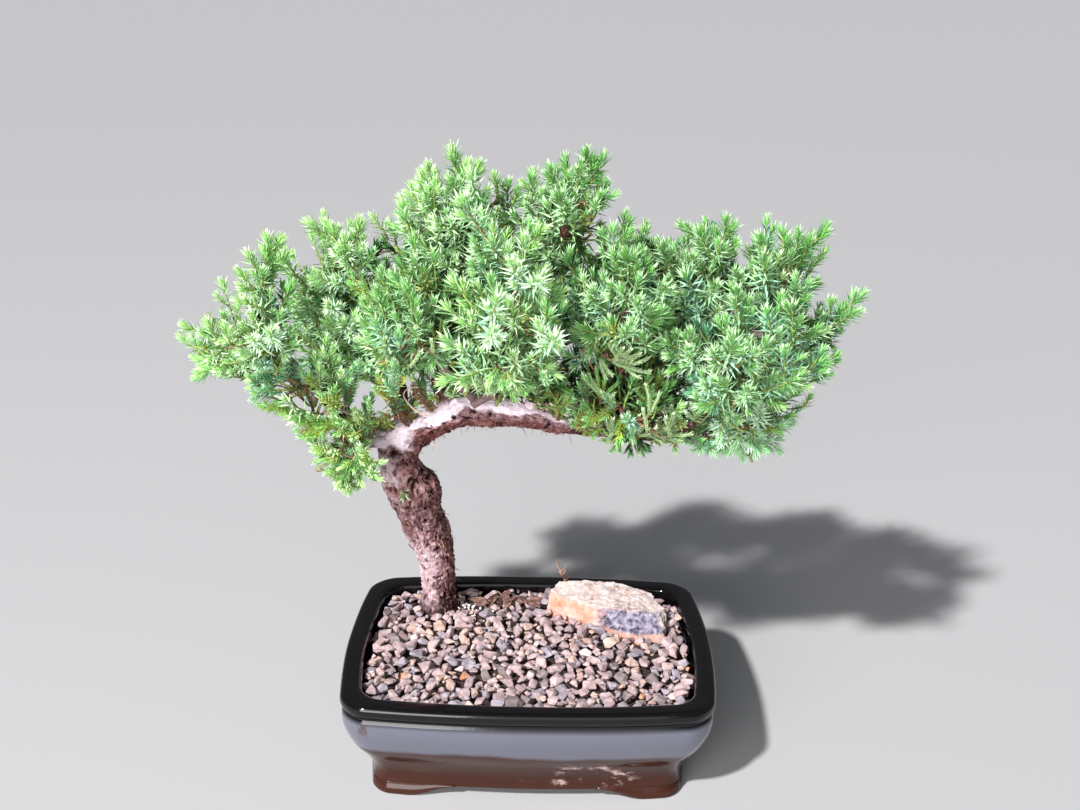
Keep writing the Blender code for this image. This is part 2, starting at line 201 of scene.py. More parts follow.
def ramp(nt, fac, stops):
    r = nt.nodes.new("ShaderNodeValToRGB")
    e = r.color_ramp.elements
    e[0].position, e[0].color = stops[0][0], (*stops[0][1], 1)
    e[1].position, e[1].color = stops[-1][0], (*stops[-1][1], 1)
    for pos, col in stops[1:-1]:
        x = e.new(pos)
        x.color = (*col, 1)
    nt.links.new(fac, r.inputs[0])
    return r.outputs[0]


def mix_color(nt, fac, a, b, blend="MIX"):
    m = nt.nodes.new("ShaderNodeMix")
    m.data_type = "RGBA"
    m.blend_type = blend
    for sock, val in ((m.inputs[0], fac), (m.inputs[6], a), (m.inputs[7], b)):
        if hasattr(val, "links"):
            nt.links.new(val, sock)
        elif isinstance(val, (int, float)):
            sock.default_value = val
        else:
            sock.default_value = (*val, 1)
    return m.outputs[2]


def math_node(nt, op, a, b=0.0, clamp=False):
    m = nt.nodes.new("ShaderNodeMath")
    m.operation = op
    m.use_clamp = clamp
    for sock, val in ((m.inputs[0], a), (m.inputs[1], b)):
        if hasattr(val, "links"):
            nt.links.new(val, sock)
        else:
            sock.default_value = val
    return m.outputs[0]


def object_noise(nt, scale, detail=4.0, rough=0.55, stretch=(1, 1, 1), kind="noise"):
    tc = nt.nodes.new("ShaderNodeTexCoord")
    mp = nt.nodes.new("ShaderNodeMapping")
    mp.inputs["Scale"].default_value = stretch
    nt.links.new(tc.outputs["Object"], mp.inputs["Vector"])
    if kind == "noise":
        n = nt.nodes.new("ShaderNodeTexNoise")
        n.inputs["Detail"].default_value = detail
        n.inputs["Roughness"].default_value = rough
        out = n.outputs["Fac"]
    else:
        n = nt.nodes.new("ShaderNodeTexVoronoi")
        n.feature = kind
        out = n.outputs["Distance"]
    n.inputs["Scale"].default_value = scale
    nt.links.new(mp.outputs["Vector"], n.inputs["Vector"])
    return out


def bump(nt, bsdf, height, strength, distance):
    b = nt.nodes.new("ShaderNodeBump")
    b.inputs["Strength"].default_value = strength
    b.inputs["Distance"].default_value = distance
    nt.links.new(height, b.inputs["Height"])
    nt.links.new(b.outputs["Normal"], bsdf.inputs["Normal"])


def attr(nt, name):
    a = nt.nodes.new("ShaderNodeAttribute")
    a.attribute_name = name
    return a.outputs["Fac"]


# ================================================================== sizes shared with the frame
STEM = (
    (-57.0, 46.5, 50.0, 13.6), (-57.2, 46.0, 61.0, 12.6), (-57.4, 45.3, 70.0, 10.6),
    (-57.6, 44.6, 82.0, 10.0), (-59.2, 43.2, 101.0, 11.2), (-63.4, 42.0, 116.0, 12.6),
    (-68.6, 40.2, 134.0, 13.8), (-73.2, 38.0, 147.0, 14.6), (-77.6, 35.8, 158.0, 12.6),
    (-79.4, 33.2, 169.0, 11.6), (-76.8, 30.6, 180.2, 12.4), (-68.0, 28.4, 187.0, 10.4),
    (-57.0, 26.4, 193.0, 8.4), (-45.7, 25.0, 198.4, 8.4), (-35.8, 24.0, 201.4, 8.9),
    (-18.0, 21.0, 203.2, 8.3), (-6.0, 18.0, 202.4, 7.0), (4.0, 16.0, 200.6, 6.0),
    (13.0, 14.0, 199.2, 5.6), (22.0, 12.4, 198.0, 4.8))

BOUGHS = {
    "bough_left": ((-82, 30, 183, 6.0), (-95, 25, 192, 5.2), (-108, 17, 203, 4.4),
                   (-116, 9, 214, 3.6), (-122, 2, 226, 3.0)),
    "bough_left_low": ((-82, 28, 180, 5.0), (-91, 18, 184, 4.2), (-98, 11, 186, 3.6),
                       (-104, 5, 187, 3.0)),
    "bough_inner_left": ((-77, 30, 184, 5.2), (-76, 32, 198, 3.8), (-75, 32, 211, 3.0),
                         (-79, 31, 227, 2.6)),
    "bough_back_left": ((-78, 33, 183, 5.4), (-79, 46, 195, 4.4), (-89, 59, 209, 3.8),
                        (-108, 66, 221, 3.2)),
    "bough_apex_left": ((-47, 25, 198, 5.6), (-52, 25, 212, 4.8), (-54, 24, 230, 4.2),
                        (-51, 22, 250, 3.6), (-49, 22, 275, 3.0), (-48, 22, 300, 2.6)),
    "bough_front": ((-33, 25, 203, 4.0), (-33, 17, 214, 3.2), (-32, 0, 224, 2.9),
                    (-28, -21, 236, 2.8)),
    "bough_back_mid": ((-38, 25, 201, 5.0), (-38, 38, 210, 4.4), (-38, 54, 222, 3.6),
                       (-39, 70, 236, 3.0)),
    "bough_apex_mid": ((-2, 17, 202, 4.6), (0, 18, 215, 4.0), (4, 19, 240, 3.4),
                       (12, 20, 270, 3.0), (18, 20, 300, 2.6)),
    "bough_back_right": ((10, 15, 199, 4.2), (18, 28, 206, 3.6), (30, 44, 216, 3.0),
                         (46, 62, 230, 2.6)),
    "bough_right_top": ((18, 13, 198.6, 4.2), (32, 13, 204, 3.8), (50, 15, 216, 3.4),
                        (70, 17, 238, 3.0), (86, 18, 262, 2.6)),
    "bough_right_low": ((18, 12.6, 198.2, 4.0), (32, 10.4, 196.0, 3.0), (50, 8.4, 195.0, 2.4),
                        (70, 6, 194.4, 2.2), (88, 4, 194.4, 2.1), (104, 3, 196, 2.0),
                        (118, 3, 204, 1.9)),
    "bough_right_front": ((66, 6.4, 194.6, 1.9), (76, -4, 201, 1.8), (88, -14, 212, 1.7),
                          (100, -24, 230, 1.6)),
}

# where each mass's own branching starts, and the line that leads there from a bough
LEADS = {
    "left_mid": ((-116, 9, 214), (-120, 4, 221)),
    "left_low": ((-100, 9, 187), (-103, 7, 187)),
    "inner_left": ((-79, 31, 223), (-81, 31, 231)),
    "back_left": ((-108, 64, 215), (-112, 67, 222)),
    "apex_left": ((-49, 22, 280), (-48, 21, 296)),
    "front_mid": ((-29, -20, 233), (-20, -32, 248)),
    "front_left": ((-32, -6, 221), (-42, -18, 236), (-52, -27, 254)),
    "centre_low": ((-33, 8, 212), (-22, 4, 220)),
    "back_mid": ((-39, 66, 232), (-39, 72, 242)),
    "apex_mid": ((16, 20, 286), (18, 19, 298)),
    "centre_right": ((4, 19, 238), (20, 10, 250), (36, 0, 258)),
    "low_right_tufts": ((40, 9.4, 195.6), (46, 3, 204), (52, -4, 213)),
    "right_inner": ((82, 18, 256), (88, 19, 268)),
    "right_top": ((80, 18, 252), (100, 17, 258), (118, 14, 270)),
    "right_front": ((96, -20, 224), (102, -26, 238)),
    "right_low": ((108, 3, 198), (114, 3, 202)),
    "far_right": ((96, 17, 257), (124, 12, 254), (146, 7, 256)),
    "left_front": ((-116, 9, 214), (-126, 0, 232), (-134, -8, 246)),
    "left_top": ((-84, 31, 218), (-93, 30, 240), (-104, 28, 258)),
    "far_left": ((-118, 6, 218), (-138, 8, 228), (-156, 10, 236)),
    "back_right": ((42, 58, 226), (48, 66, 236)),
    "back_far_right": ((62, 16, 230), (86, 36, 228), (110, 54, 230)),
}


def smooth_path(stations, step):
    P = [np.array(s, float) for s in stations]
    P = [2 * P[0] - P[1]] + P + [2 * P[-1] - P[-2]]
    out = []
    for i in range(1, len(P) - 2):
        a, b, c, d = P[i - 1:i + 3]
        n = max(1, int(round(float(np.linalg.norm(c[:3] - b[:3])) / step)))
        for k in range(n):
            t = k / n
            out.append(0.5 * (2 * b + (c - a) * t + (2 * a - 5 * b + 4 * c - d) * t * t
                              + (3 * b - a - 3 * c + d) * t ** 3))
    out.append(P[-2])
    return np.array(out)


def frames_along(path):
    """Tangents and two side vectors carried along a line without twist."""
    t = np.gradient(path[:, :3], axis=0)
    t = unit(t)
    side = np.zeros_like(t)
    up = np.zeros_like(t)
    ref = np.array([0.0, -1.0, 0.0])
    s = ref - t[0] * float(ref @ t[0])
    s /= np.linalg.norm(s)
    for i in range(len(t)):
        s = s - t[i] * float(s @ t[i])
        s /= np.linalg.norm(s)
        side[i] = s
        up[i] = np.cross(t[i], s)
    return t, side, up


# ================================================================== camera, light, floor
def camera_and_light():
    f, cx, cy, cz, yaw, pitch, roll = 1206.2, 8.0, -621.5, 447.8, -0.0058, 0.3581, 0.0138
    fw = np.array([math.sin(yaw) * math.cos(pitch), math.cos(yaw) * math.cos(pitch),
                   -math.sin(pitch)])
    r = np.array([math.cos(yaw), -math.sin(yaw), 0.0])
    u = np.cross(r, fw)
    r2 = r * math.cos(roll) + u * math.sin(roll)
    u2 = -r * math.sin(roll) + u * math.cos(roll)
    cam = bpy.data.cameras.new("camera")
    cam.sensor_fit = "HORIZONTAL"
    cam.sensor_width = 36.0
    cam.lens = f * 36.0 / 1080.0
    cam.clip_start = 0.02
    cam.clip_end = 100.0
    ob = bpy.data.objects.new("camera", cam)
    COLL.objects.link(ob)
    M = Matrix.Identity(4)
    for i in range(3):
        M[i][0], M[i][1], M[i][2] = r2[i], u2[i], -fw[i]
    p = to_world((cx, cy, cz))
    M[0][3], M[1][3], M[2][3] = p
    ob.matrix_world = M
    bpy.context.scene.camera = ob

    def lamp(name, kind, loc, look, power, size, color=(1, 1, 1)):
        la = bpy.data.lights.new(name, kind)
        la.energy = power
        la.color = color
        if kind == "AREA":
            la.size = size
        else:
            la.angle = math.radians(size)
        o = bpy.data.objects.new(name, la)
        o.location = loc
        d = Vector(look) - Vector(loc)
        o.rotation_euler = d.to_track_quat("-Z", "Y").to_euler()
        COLL.objects.link(o)

    lamp("key", "SUN", (-0.80, -0.98, 1.42), (0, 0, 0.2), 5.8, 3.2, (1.0, 0.99, 0.985))
    lamp("soft_front", "AREA", (-0.30, -1.60, 0.55), (0, 0, 0.2), 13.0, 1.8, (1.0, 0.99, 0.98))
    lamp("soft_low", "AREA", (-0.64, -1.42, 0.40), (-0.07, 0.0, 0.21), 24.0, 0.90, (1.0, 0.98, 0.97))

    w = bpy.data.worlds.new("studio")
    bpy.context.scene.world = w
    w.use_nodes = True
    bg = w.node_tree.nodes["Background"]
    bg.inputs["Color"].default_value = (0.90, 0.94, 1.0, 1)
    bg.inputs["Strength"].default_value = 0.18

    me = bpy.data.meshes.new("floor")
    bm = bmesh.new()
    bmesh.ops.create_grid(bm, x_segments=2, y_segments=2, size=60.0)
    bm.to_mesh(me)
    bm.free()
    floor = bpy.data.objects.new("floor", me)
    COLL.objects.link(floor)
    m, nt, b = new_material("floor_pale")
    b.inputs["Base Color"].default_value = (0.40, 0.40, 0.41, 1)
    b.inputs["Roughness"].default_value = 0.9
    b.inputs["Specular IOR Level"].default_value = 0.1
    me.materials.append(m)
    bpy.context.scene.view_settings.view_transform = "Standard"
    bpy.context.scene.view_settings.look = "None"


# ================================================================== needles
# each tint: lower face, upper face
TINTS = (
    ("tip_bright", (166, 214, 128), (216, 240, 202)),
    ("tip_green", (132, 194, 108), (194, 226, 180)),
    ("fresh", (114, 172, 88), (186, 220, 170)),
    ("mid", (86, 144, 72), (158, 200, 150)),
    ("mid_dark", (46, 92, 40), (102, 146, 96)),
    ("blue", (82, 148, 100), (156, 202, 172)),
    ("blue_dark", (44, 92, 58), (102, 148, 120)),
    # deep: near-black green, painted shade for shoots inside the crown
    ("deep", (20, 44, 16), (42, 72, 34)),
    ("olive", (124, 146, 58), (178, 194, 112)),
    ("olive_dark", (66, 84, 28), (104, 122, 54)),
    ("dead", (144, 98, 68), (176, 136, 102)),
    ("sage", (150, 178, 128), (206, 222, 186)),
    ("pale", (136, 190, 128), (194, 226, 192)),
    ("lime", (148, 176, 62), (196, 212, 122)),
    ("leafy", (134, 180, 80), (202, 226, 156)),
    ("icy", (150, 200, 146), (214, 238, 218)),
)
TINT_ID = {t[0]: i for i, t in enumerate(TINTS)}


def needle_materials():
    out = []
    for name, low, high in TINTS:
        for part, col in (("low", low), ("face", high)):
            m, nt, b = new_material("needle_%s_%s" % (name, part))
            b.inputs["Base Color"].default_value = (*lin(*col), 1)
            b.inputs["Roughness"].default_value = 0.50 if part == "low" else 0.62
            b.inputs["Specular IOR Level"].default_value = 0.35
            out.append(m)
    return out


# where the crown stays open: lines with a radius that no needle enters
CAM_WAY = unit(np.array([0.0, -0.93, 0.36]))
OPEN = [((-115, -45, 321), (-146, 100, 289), 2.9), ((-112, -45, 314), (-142, 100, 280), 4.0), 
        ((-110, -45, 308), (-140, 100, 273), 4.9), ((-106, -45, 305), (-135, 100, 270), 3.4), 
        ((-115, -45, 303), (-146, 100, 266), 2.3), ((28, -45, 325), (33, 100, 294), 2.9), 
        ((27, -45, 320), (32, 100, 288), 2.9), ((28, -45, 315), (34, 100, 282), 3.1), 
        ((29, -45, 311), (35, 100, 277), 2.0), ((35, -45, 329), (42, 100, 299), 2.3), 
        ((38, -45, 332), (46, 100, 303), 2.3), ((147, -45, 304), (182, 100, 268), 6.9), 
        ((-123, -45, 240), (-156, 100, 187), 3.4), ((-127, -45, 240), (-161, 100, 188), 2.6), 
        ((-118, -45, 232), (-150, 100, 177), 4.0), ((-112, -45, 231), (-142, 100, 177), 4.6), 
        ((-107, -45, 230), (-136, 100, 175), 2.9), ((-77, -45, 231), (-98, 100, 176), 4.0), 
        ((-86, -45, 239), (-109, 100, 186), 2.9), ((-64, -45, 238), (-82, 100, 185), 3.4), 
        ((-153, -45, 239), (-194, 100, 186), 5.7), ((-149, -45, 232), (-188, 100, 178), 4.6)]
for _p in ((-50, 25.5, 200), (-42, 24.5, 203), (-33, 23.5, 205), (-24, 22, 206), (-15, 20.5, 206),
           (-6, 18.5, 205), (1, 17, 203.5)):
    _p = np.array(_p, float)
    OPEN.append((_p, _p + CAM_WAY * 70.0, 6.8))
OPEN.append(((16, -8, 313), np.array([16.0, -8.0, 313.0]) + CAM_WAY * 60.0, 3.6))
for _p in ((-84, 20, 180), (-78, 19, 183)):
    _p = np.array(_p, float)
    OPEN.append((_p, _p + CAM_WAY * 60.0, 6.0))


def in_open(P, more=0.0):
    """Which points lie where the crown stays open."""
    out = np.zeros(len(P), bool)
    for a, b, r in OPEN:
        a, d = np.asarray(a, float), np.asarray(b, float) - np.asarray(a, float)
        t = np.clip(((P - a) @ d) / (d @ d), 0, 1)
        out |= ((P - a - t[:, None] * d) ** 2).sum(1) < (r + more) ** 2
    return out


def needle_arrays(base, axis, radial, length, width, thick, spread, curl, tint, plain=False):
    """Closed lance-shaped needles of six faces, or four when plain. All arrays run over
    the needles."""
    free = ~(in_open(base) | in_open(base + (axis * np.cos(spread)[:, None]
                                             + radial * np.sin(spread)[:, None]) * length[:, None], -1.0))
    base, axis, radial, length, width, thick, spread, curl, tint = (
        x[free] for x in (base, axis, radial, length, width, thick, spread, curl, tint))
    c, s = np.cos(spread)[:, None], np.sin(spread)[:, None]
    n = axis * c + radial * s                  # along the needle
    u = axis * s - radial * c                  # its upper side, towards the shoot's tip
    side = np.cross(n, u)
    L, W, T = length[:, None], width[:, None], thick[:, None]
    mid = base + n * L * 0.30 - u * L * curl[:, None] * 0.10
    tip = base + n * L + u * L * curl[:, None]
    left = mid + side * W * 0.5 + u * T * 0.35
    right = mid - side * W * 0.5 + u * T * 0.35
    if plain:
        V = np.stack([base, left, right, tip], 1).reshape(-1, 3)
        k = np.arange(len(base))[:, None] * 4
        F = np.concatenate([k + a for a in ((0, 1, 2), (1, 3, 2), (0, 3, 1), (0, 2, 3))],
                           1).reshape(-1, 3)
        return V, F, np.stack([tint * 2 + 1, tint * 2 + 1, tint * 2, tint * 2], 1).ravel()
    keel = mid - u * T * 0.65
    V = np.stack([base, left, right, keel, tip], 1).reshape(-1, 3)
    k = np.arange(len(base))[:, None] * 5
    F = np.concatenate([k + a for a in ((0, 1, 2), (1, 4, 2), (0, 3, 1), (3, 4, 1),
                                        (0, 2, 3), (2, 4, 3))], 1).reshape(-1, 3)
    ix = np.stack([tint * 2 + 1, tint * 2 + 1] + [tint * 2] * 4, 1).ravel()
    return V, F, ix


def hermite(p0, m0, p1, m1, t):
    t = t[..., None]
    pos = ((2 * t ** 3 - 3 * t ** 2 + 1) * p0 + (t ** 3 - 2 * t ** 2 + t) * m0
           + (-2 * t ** 3 + 3 * t ** 2) * p1 + (t ** 3 - t ** 2) * m1)
    tan = ((6 * t ** 2 - 6 * t) * p0 + (3 * t ** 2 - 4 * t + 1) * m0
           + (-6 * t ** 2 + 6 * t) * p1 + (3 * t ** 2 - 2 * t) * m1)
    return pos, unit(tan)


# distance of each whorl of three needles from the shoot's tip, in mm
WHORLS = np.array([0.2, 0.8, 1.5, 2.4, 3.6, 5.2, 7.2, 9.6, 12.3, 15.2, 18.3, 21.6, 25.1, 28.8, 32.6,
                   36.5, 40.5])
DEEP_WHORLS = np.array([0.5, 2.2, 4.6, 7.6, 11.2, 15.2, 19.6, 24.4])
CLOSE_WHORLS = np.array([0.2, 0.8, 1.6, 2.6, 3.7, 5.0, 6.5, 8.1, 9.8, 11.6, 13.6, 15.7, 17.9, 20.2,
                         22.6, 25.1, 27.7, 30.4, 33.2, 36.1, 39.1, 42.2, 45.4])
MARKS = (WHORLS, np.arange(0.3, 26.0, 1.05), np.arange(0.3, 56.0, 1.02), DEEP_WHORLS, CLOSE_WHORLS)


class Shoots:
    """Leafy shoots: their ends p0, p1 (tip), directions d0, d1 there, how far down from
    the tip they carry needles, needle size, tints (tip, body, old) and the style of leaf:
    0 open needles, 1 short scales, 2 short needles set close, 3 inner shoots seen only
    through the others, 4 open needles set close."""

    def __init__(self, p0, d0, p1, d1, clad, size, family, style):
        self.p0, self.d0, self.p1, self.d1 = p0, unit(d0), p1, unit(d1)
        self.clad, self.size, self.family, self.style = clad, size, family, style
        self.L = np.linalg.norm(p1 - p0, axis=1)

    def at(self, back, q=slice(None)):
        """Point and direction at a distance back from the tip of the picked shoots."""
        L = self.L[q]
        t = 1.0 - np.minimum(back / (L * 1.04), 1.0)
        return hermite(self.p0[q], self.d0[q] * (L * 0.9)[:, None], self.p1[q],
                       self.d1[q] * (L * 0.9)[:, None], t)

    def only(self, keep):
        return Shoots(*(x[keep] for x in (self.p0, self.d0, self.p1, self.d1, self.clad, self.size,
                                          self.family, self.style)))

    def clear(self):
        """Which shoots run outside the places that stay open."""
        out = np.ones(len(self.p0), bool)
        m = (self.L * 0.9)[:, None]
        for t in (0.3, 0.5, 0.7, 0.9):
            out &= ~in_open(hermite(self.p0, self.d0 * m, self.p1, self.d1 * m,
                                    np.full(len(out), t))[0], -0.8)
        return out

    def needles(self, rng):
        n = len(self.p0)
        turn0 = rng.uniform(0, 2 * math.pi, n)
        out = []
        for style, marks in enumerate(MARKS):
            pick = np.nonzero(self.style == style)[0]
            if not len(pick):
                continue
            for w, mark in enumerate(marks):
                dist = mark * (np.ones(len(pick)) if style in (1, 2) else self.size[pick])
                ok = (dist < self.clad[pick]) & (dist < self.L[pick] * 1.0)
                q, dd = pick[ok], dist[ok]
                if not len(q):
                    continue
                pos, tan = self.at(dd, q)
                ref = np.where(np.abs(tan[:, 2:3]) < 0.9, np.array([[0, 0, 1.0]]),
                               np.array([[1.0, 0, 0]]))
                s1 = unit(np.cross(tan, ref))
                s2 = np.cross(tan, s1)
                m = len(q)
                for k in range(3):
                    a = turn0[q] + w * math.pi / 3 + k * 2 * math.pi / 3 + rng.normal(0, 0.16, m)
                    rad = s1 * np.cos(a)[:, None] + s2 * np.sin(a)[:, None]
                    if style == 1:
                        ln = rng.uniform(2.3, 3.3, m)
                        sp = np.radians(24 + rng.normal(0, 7, m))
                        wd, th, curl = np.full(m, 1.25), np.full(m, 0.6), np.full(m, 0.05)
                        stage = (dd > 8.0).astype(int)
                    elif style == 2:
                        ln = (self.size[q] * (5.9 + 1.6 * sstep(0.0, 5.0, dd))
                              * rng.uniform(0.82, 1.12, m))
                        sp = np.radians(17 + 36 * sstep(0.5, 6.0, dd) + rng.normal(0, 8, m))
                        wd, th = np.full(m, 1.16), np.full(m, 0.48)
                        curl = rng.normal(0.03, 0.05, m)
                        stage = (dd > 4.0).astype(int) + (dd > 18.0).astype(int)
                    else:
                        open_ = sstep(0.0, 7.0, dd)
                        ln = (self.size[q] * (4.9 + 2.9 * sstep(0.0, 4.0, dd))
                              * rng.uniform(0.86, 1.10, m))
                        sp = np.radians(12 + 16 * sstep(0, 3.0, dd) + 37 * sstep(3.0, 13, dd)
                                        + rng.normal(0, 6, m))
                        wd = self.size[q] * (1.08 + 0.10 * open_) * (1.9 if style == 3 else 1.0)
                        th = wd * 0.42
                        curl = rng.normal(0.0, 0.05, m) - 0.05 * open_
                        stage = (dd > 4.0).astype(int) + (dd > 16.0).astype(int)
                    out.append(needle_arrays(pos + rad * 0.25, tan, rad, ln, wd, th,
                                             np.clip(sp, 0.05, 1.9), curl,
                                             self.family[q, stage], style == 3))
        return join_arrays(out) if out else None

    def stems(self, rng, stations, taper, sides, tone):
        n = len(self.p0)
        t = np.repeat(np.linspace(0, 1, stations)[None], n, 0)
        m = (self.L * 0.9)[:, None]
        pos, tan = hermite(self.p0[:, None], (self.d0 * m)[:, None], self.p1[:, None],
                           (self.d1 * m)[:, None], t)
        return tube_arrays(pos, tan, np.repeat(np.asarray(taper)[None], n, 0)
                           * rng.uniform(0.9, 1.15, n)[:, None], sides, tone)


# ================================================================== twigs
def tube_arrays(rings_p, rings_t, radii, sides, mat_index):
    """Tubes from stations: rings_p (n, k, 3), radii (n, k); closed at both ends to a point."""
    n, k, _ = rings_p.shape
    t = unit(rings_t)
    ref = np.where(np.abs(t[:, :1, 2:3]) < 0.9, np.array([[[0, 0, 1.0]]]),
                   np.array([[[1.0, 0, 0]]]))
    ref = np.repeat(ref, k, axis=1)
    s1 = unit(np.cross(t, ref))
    s2 = np.cross(t, s1)
    ang = np.arange(sides) * 2 * math.pi / sides
    V = (rings_p[:, :, None, :] + radii[:, :, None, None]
         * (s1[:, :, None, :] * np.cos(ang)[None, None, :, None]
            + s2[:, :, None, :] * np.sin(ang)[None, None, :, None]))
    V = V.reshape(n, k * sides, 3)
    cap0 = rings_p[:, :1] - t[:, :1] * radii[:, :1, None] * 0.3
    cap1 = rings_p[:, -1:] + t[:, -1:] * radii[:, -1:, None] * 0.6
    V = np.concatenate([V, cap0, cap1], 1)
    per = k * sides + 2
    F = []
    for i in range(k - 1):
        for j in range(sides):
            a, b = i * sides + j, i * sides + (j + 1) % sides
            c, d = a + sides, b + sides
            F += [(a, b, d), (a, d, c)]
    for j in range(sides):
        F.append((k * sides, (j + 1) % sides, j))
        F.append((k * sides + 1, (k - 1) * sides + j, (k - 1) * sides + (j + 1) % sides))
    F = np.array(F)
    allF = (F[None] + np.arange(n)[:, None, None] * per).reshape(-1, 3)
    ix = np.repeat(np.asarray(mat_index), len(F))
    return V.reshape(-1, 3), allF, ix


TWIG_TINTS = (("twig_green", (146, 164, 84)), ("twig_tan", (160, 126, 86)),
              ("twig_red", (124, 86, 68)), ("twig_grey", (134, 108, 104)))


def twig_materials():
    out = []
    for name, col in TWIG_TINTS:
        m, nt, b = new_material(name)
        n = object_noise(nt, 900.0, 3.0)
        c = lin(*col)
        nt.links.new(ramp(nt, n, ((0.3, tuple(0.5 * x for x in c)),
                                  (0.7, tuple(min(1.0, 1.25 * x) for x in c)))),
                     b.inputs["Base Color"])
        b.inputs["Roughness"].default_value = 0.8
        out.append(m)
    return out


# ================================================================== crown
class Mass:
    def __init__(self, name, ob):
        self.name = name
        me = ob.data
        V = np.zeros(len(me.vertices) * 3, np.float32)
        me.vertices.foreach_get("co", V)
        self.V = V.reshape(-1, 3).astype(float) / MM - SHIFT       # millimetres
        me.calc_loop_triangles()
        F = np.zeros(len(me.loop_triangles) * 3, np.int32)
        me.loop_triangles.foreach_get("vertices", F)
        self.F = F.reshape(-1, 3)
        a, b, c = (self.V[self.F[:, i]] for i in range(3))
        cr = np.cross(b - a, c - a)
        self.area = np.linalg.norm(cr, axis=1) / 2
        self.normal = unit(cr)
        cen = (a + b + c) / 3
        self.c = (cen * self.area[:, None]).sum(0) / self.area.sum()
        if ((cen - self.c) * self.normal).sum() < 0:
            self.normal = -self.normal
        self.bvh = BVHTree.FromPolygons([Vector(v) for v in self.V],
                                        [tuple(int(i) for i in f) for f in self.F])

    def depth(self, p):
        """How far inside the mass a point is, along the line from the middle; below 0 outside."""
        d = Vector(p - self.c)
        L = d.length
        if L < 1e-6:
            return 50.0
        hit = self.bvh.ray_cast(Vector(self.c), d / L)
        return (hit[3] - L) if hit[0] is not None else -50.0


def poisson(pts, prio, dist):
    """Keep points so that none is nearer than its own dist to a kept one."""
    order = np.argsort(prio, kind="stable")
    cell = float(dist.max())
    grid, keep = {}, []
    keys = np.floor(pts / cell).astype(int)
    near = [(a, b, c) for a in (-1, 0, 1) for b in (-1, 0, 1) for c in (-1, 0, 1)]
    for i in order:
        x, y, z = keys[i]
        px, py, pz = pts[i]
        dd = dist[i] ** 2
        ok = True
        for a, b, c in near:
            for qx, qy, qz in grid.get((x + a, y + b, z + c), ()):
                if (qx - px) ** 2 + (qy - py) ** 2 + (qz - pz) ** 2 < dd:
                    ok = False
                    break
            if not ok:
                break
        if ok:
            grid.setdefault((x, y, z), []).append((px, py, pz))
            keep.append(i)
    return np.array(keep, int)


def grow(rng, feet, tips, start, heading, segs, ends):
    """Branch from start towards the feet of the shoots, splitting until one is left."""
    n = len(tips)
    if n == 1:
        ends.append((start, heading, int(tips[0])))
        return
    P = feet[tips]
    reach = P.mean(0) - start
    dist = np.linalg.norm(reach)
    share = rng.uniform(0.34, 0.5) if n > 6 else rng.uniform(0.30, 0.46)
    aim = start + reach * share + rng.normal(0, 0.05, 3) * dist
    seg_dir = unit(unit(aim - start) * 0.8 + heading * 0.35)
    step = np.linalg.norm(aim - start)
    end = 0.5 * (start + seg_dir * step) + 0.5 * aim
    if step > 1.0:
        segs.append((start, heading, end, unit(end - start), n))
        heading = unit(unit(end - start) + 0.3 * heading)
    else:
        end = start
    X = P - P.mean(0)
    w, v = np.linalg.eigh(X.T @ X)
    axis = unit(v[:, -1] + rng.normal(0, 0.25, 3))
    d = X @ axis
    cut = np.quantile(d, rng.uniform(0.36, 0.64))
    a, b = tips[d <= cut], tips[d > cut]
    if len(a) == 0 or len(b) == 0:
        a, b = tips[: n // 2], tips[n // 2:]
    for part in (a, b):
        grow(rng, feet, part, end, heading, segs, ends)


# old parts of shoots often take the deep tint: painted shade towards the inside of the crown
FAMILIES = {                     # tints of tip, body and old part
    "fresh": ("tip_bright", "fresh", "mid"), "fresh2": ("tip_bright", "tip_green", "fresh"),
    "green": ("tip_green", "mid", "mid_dark"), "green2": ("fresh", "mid", "deep"),
    "blue": ("tip_green", "blue", "blue_dark"), "blue2": ("blue", "blue", "mid_dark"),
    "dark": ("mid", "mid_dark", "deep"), "deep": ("mid_dark", "deep", "deep"),
    "olive": ("fresh", "olive", "olive_dark"), "dead": ("dead", "dead", "dead"),
    "sage": ("sage", "sage", "olive"),
    "f": ("tip_bright", "fresh", "mid"), "w": ("tip_bright", "pale", "blue"),
    "g": ("tip_green", "mid", "mid_dark"), "b": ("tip_green", "blue", "blue_dark"),
    "o": ("fresh", "olive", "olive_dark"), "s": ("sage", "sage", "olive"),
    "h": ("pale", "blue", "mid"), "y": ("tip_green", "lime", "olive"),
    "v": ("fresh", "mid", "blue"), "g3": ("fresh", "mid", "mid"),
    "l": ("tip_bright", "leafy", "fresh"), "p": ("icy", "pale", "pale"), "p2": ("icy", "icy", "pale"),
}
FAM_NAMES = sorted(FAMILIES)
FAM_TABLE = np.array([[TINT_ID[t] for t in FAMILIES[f]] for f in FAM_NAMES])
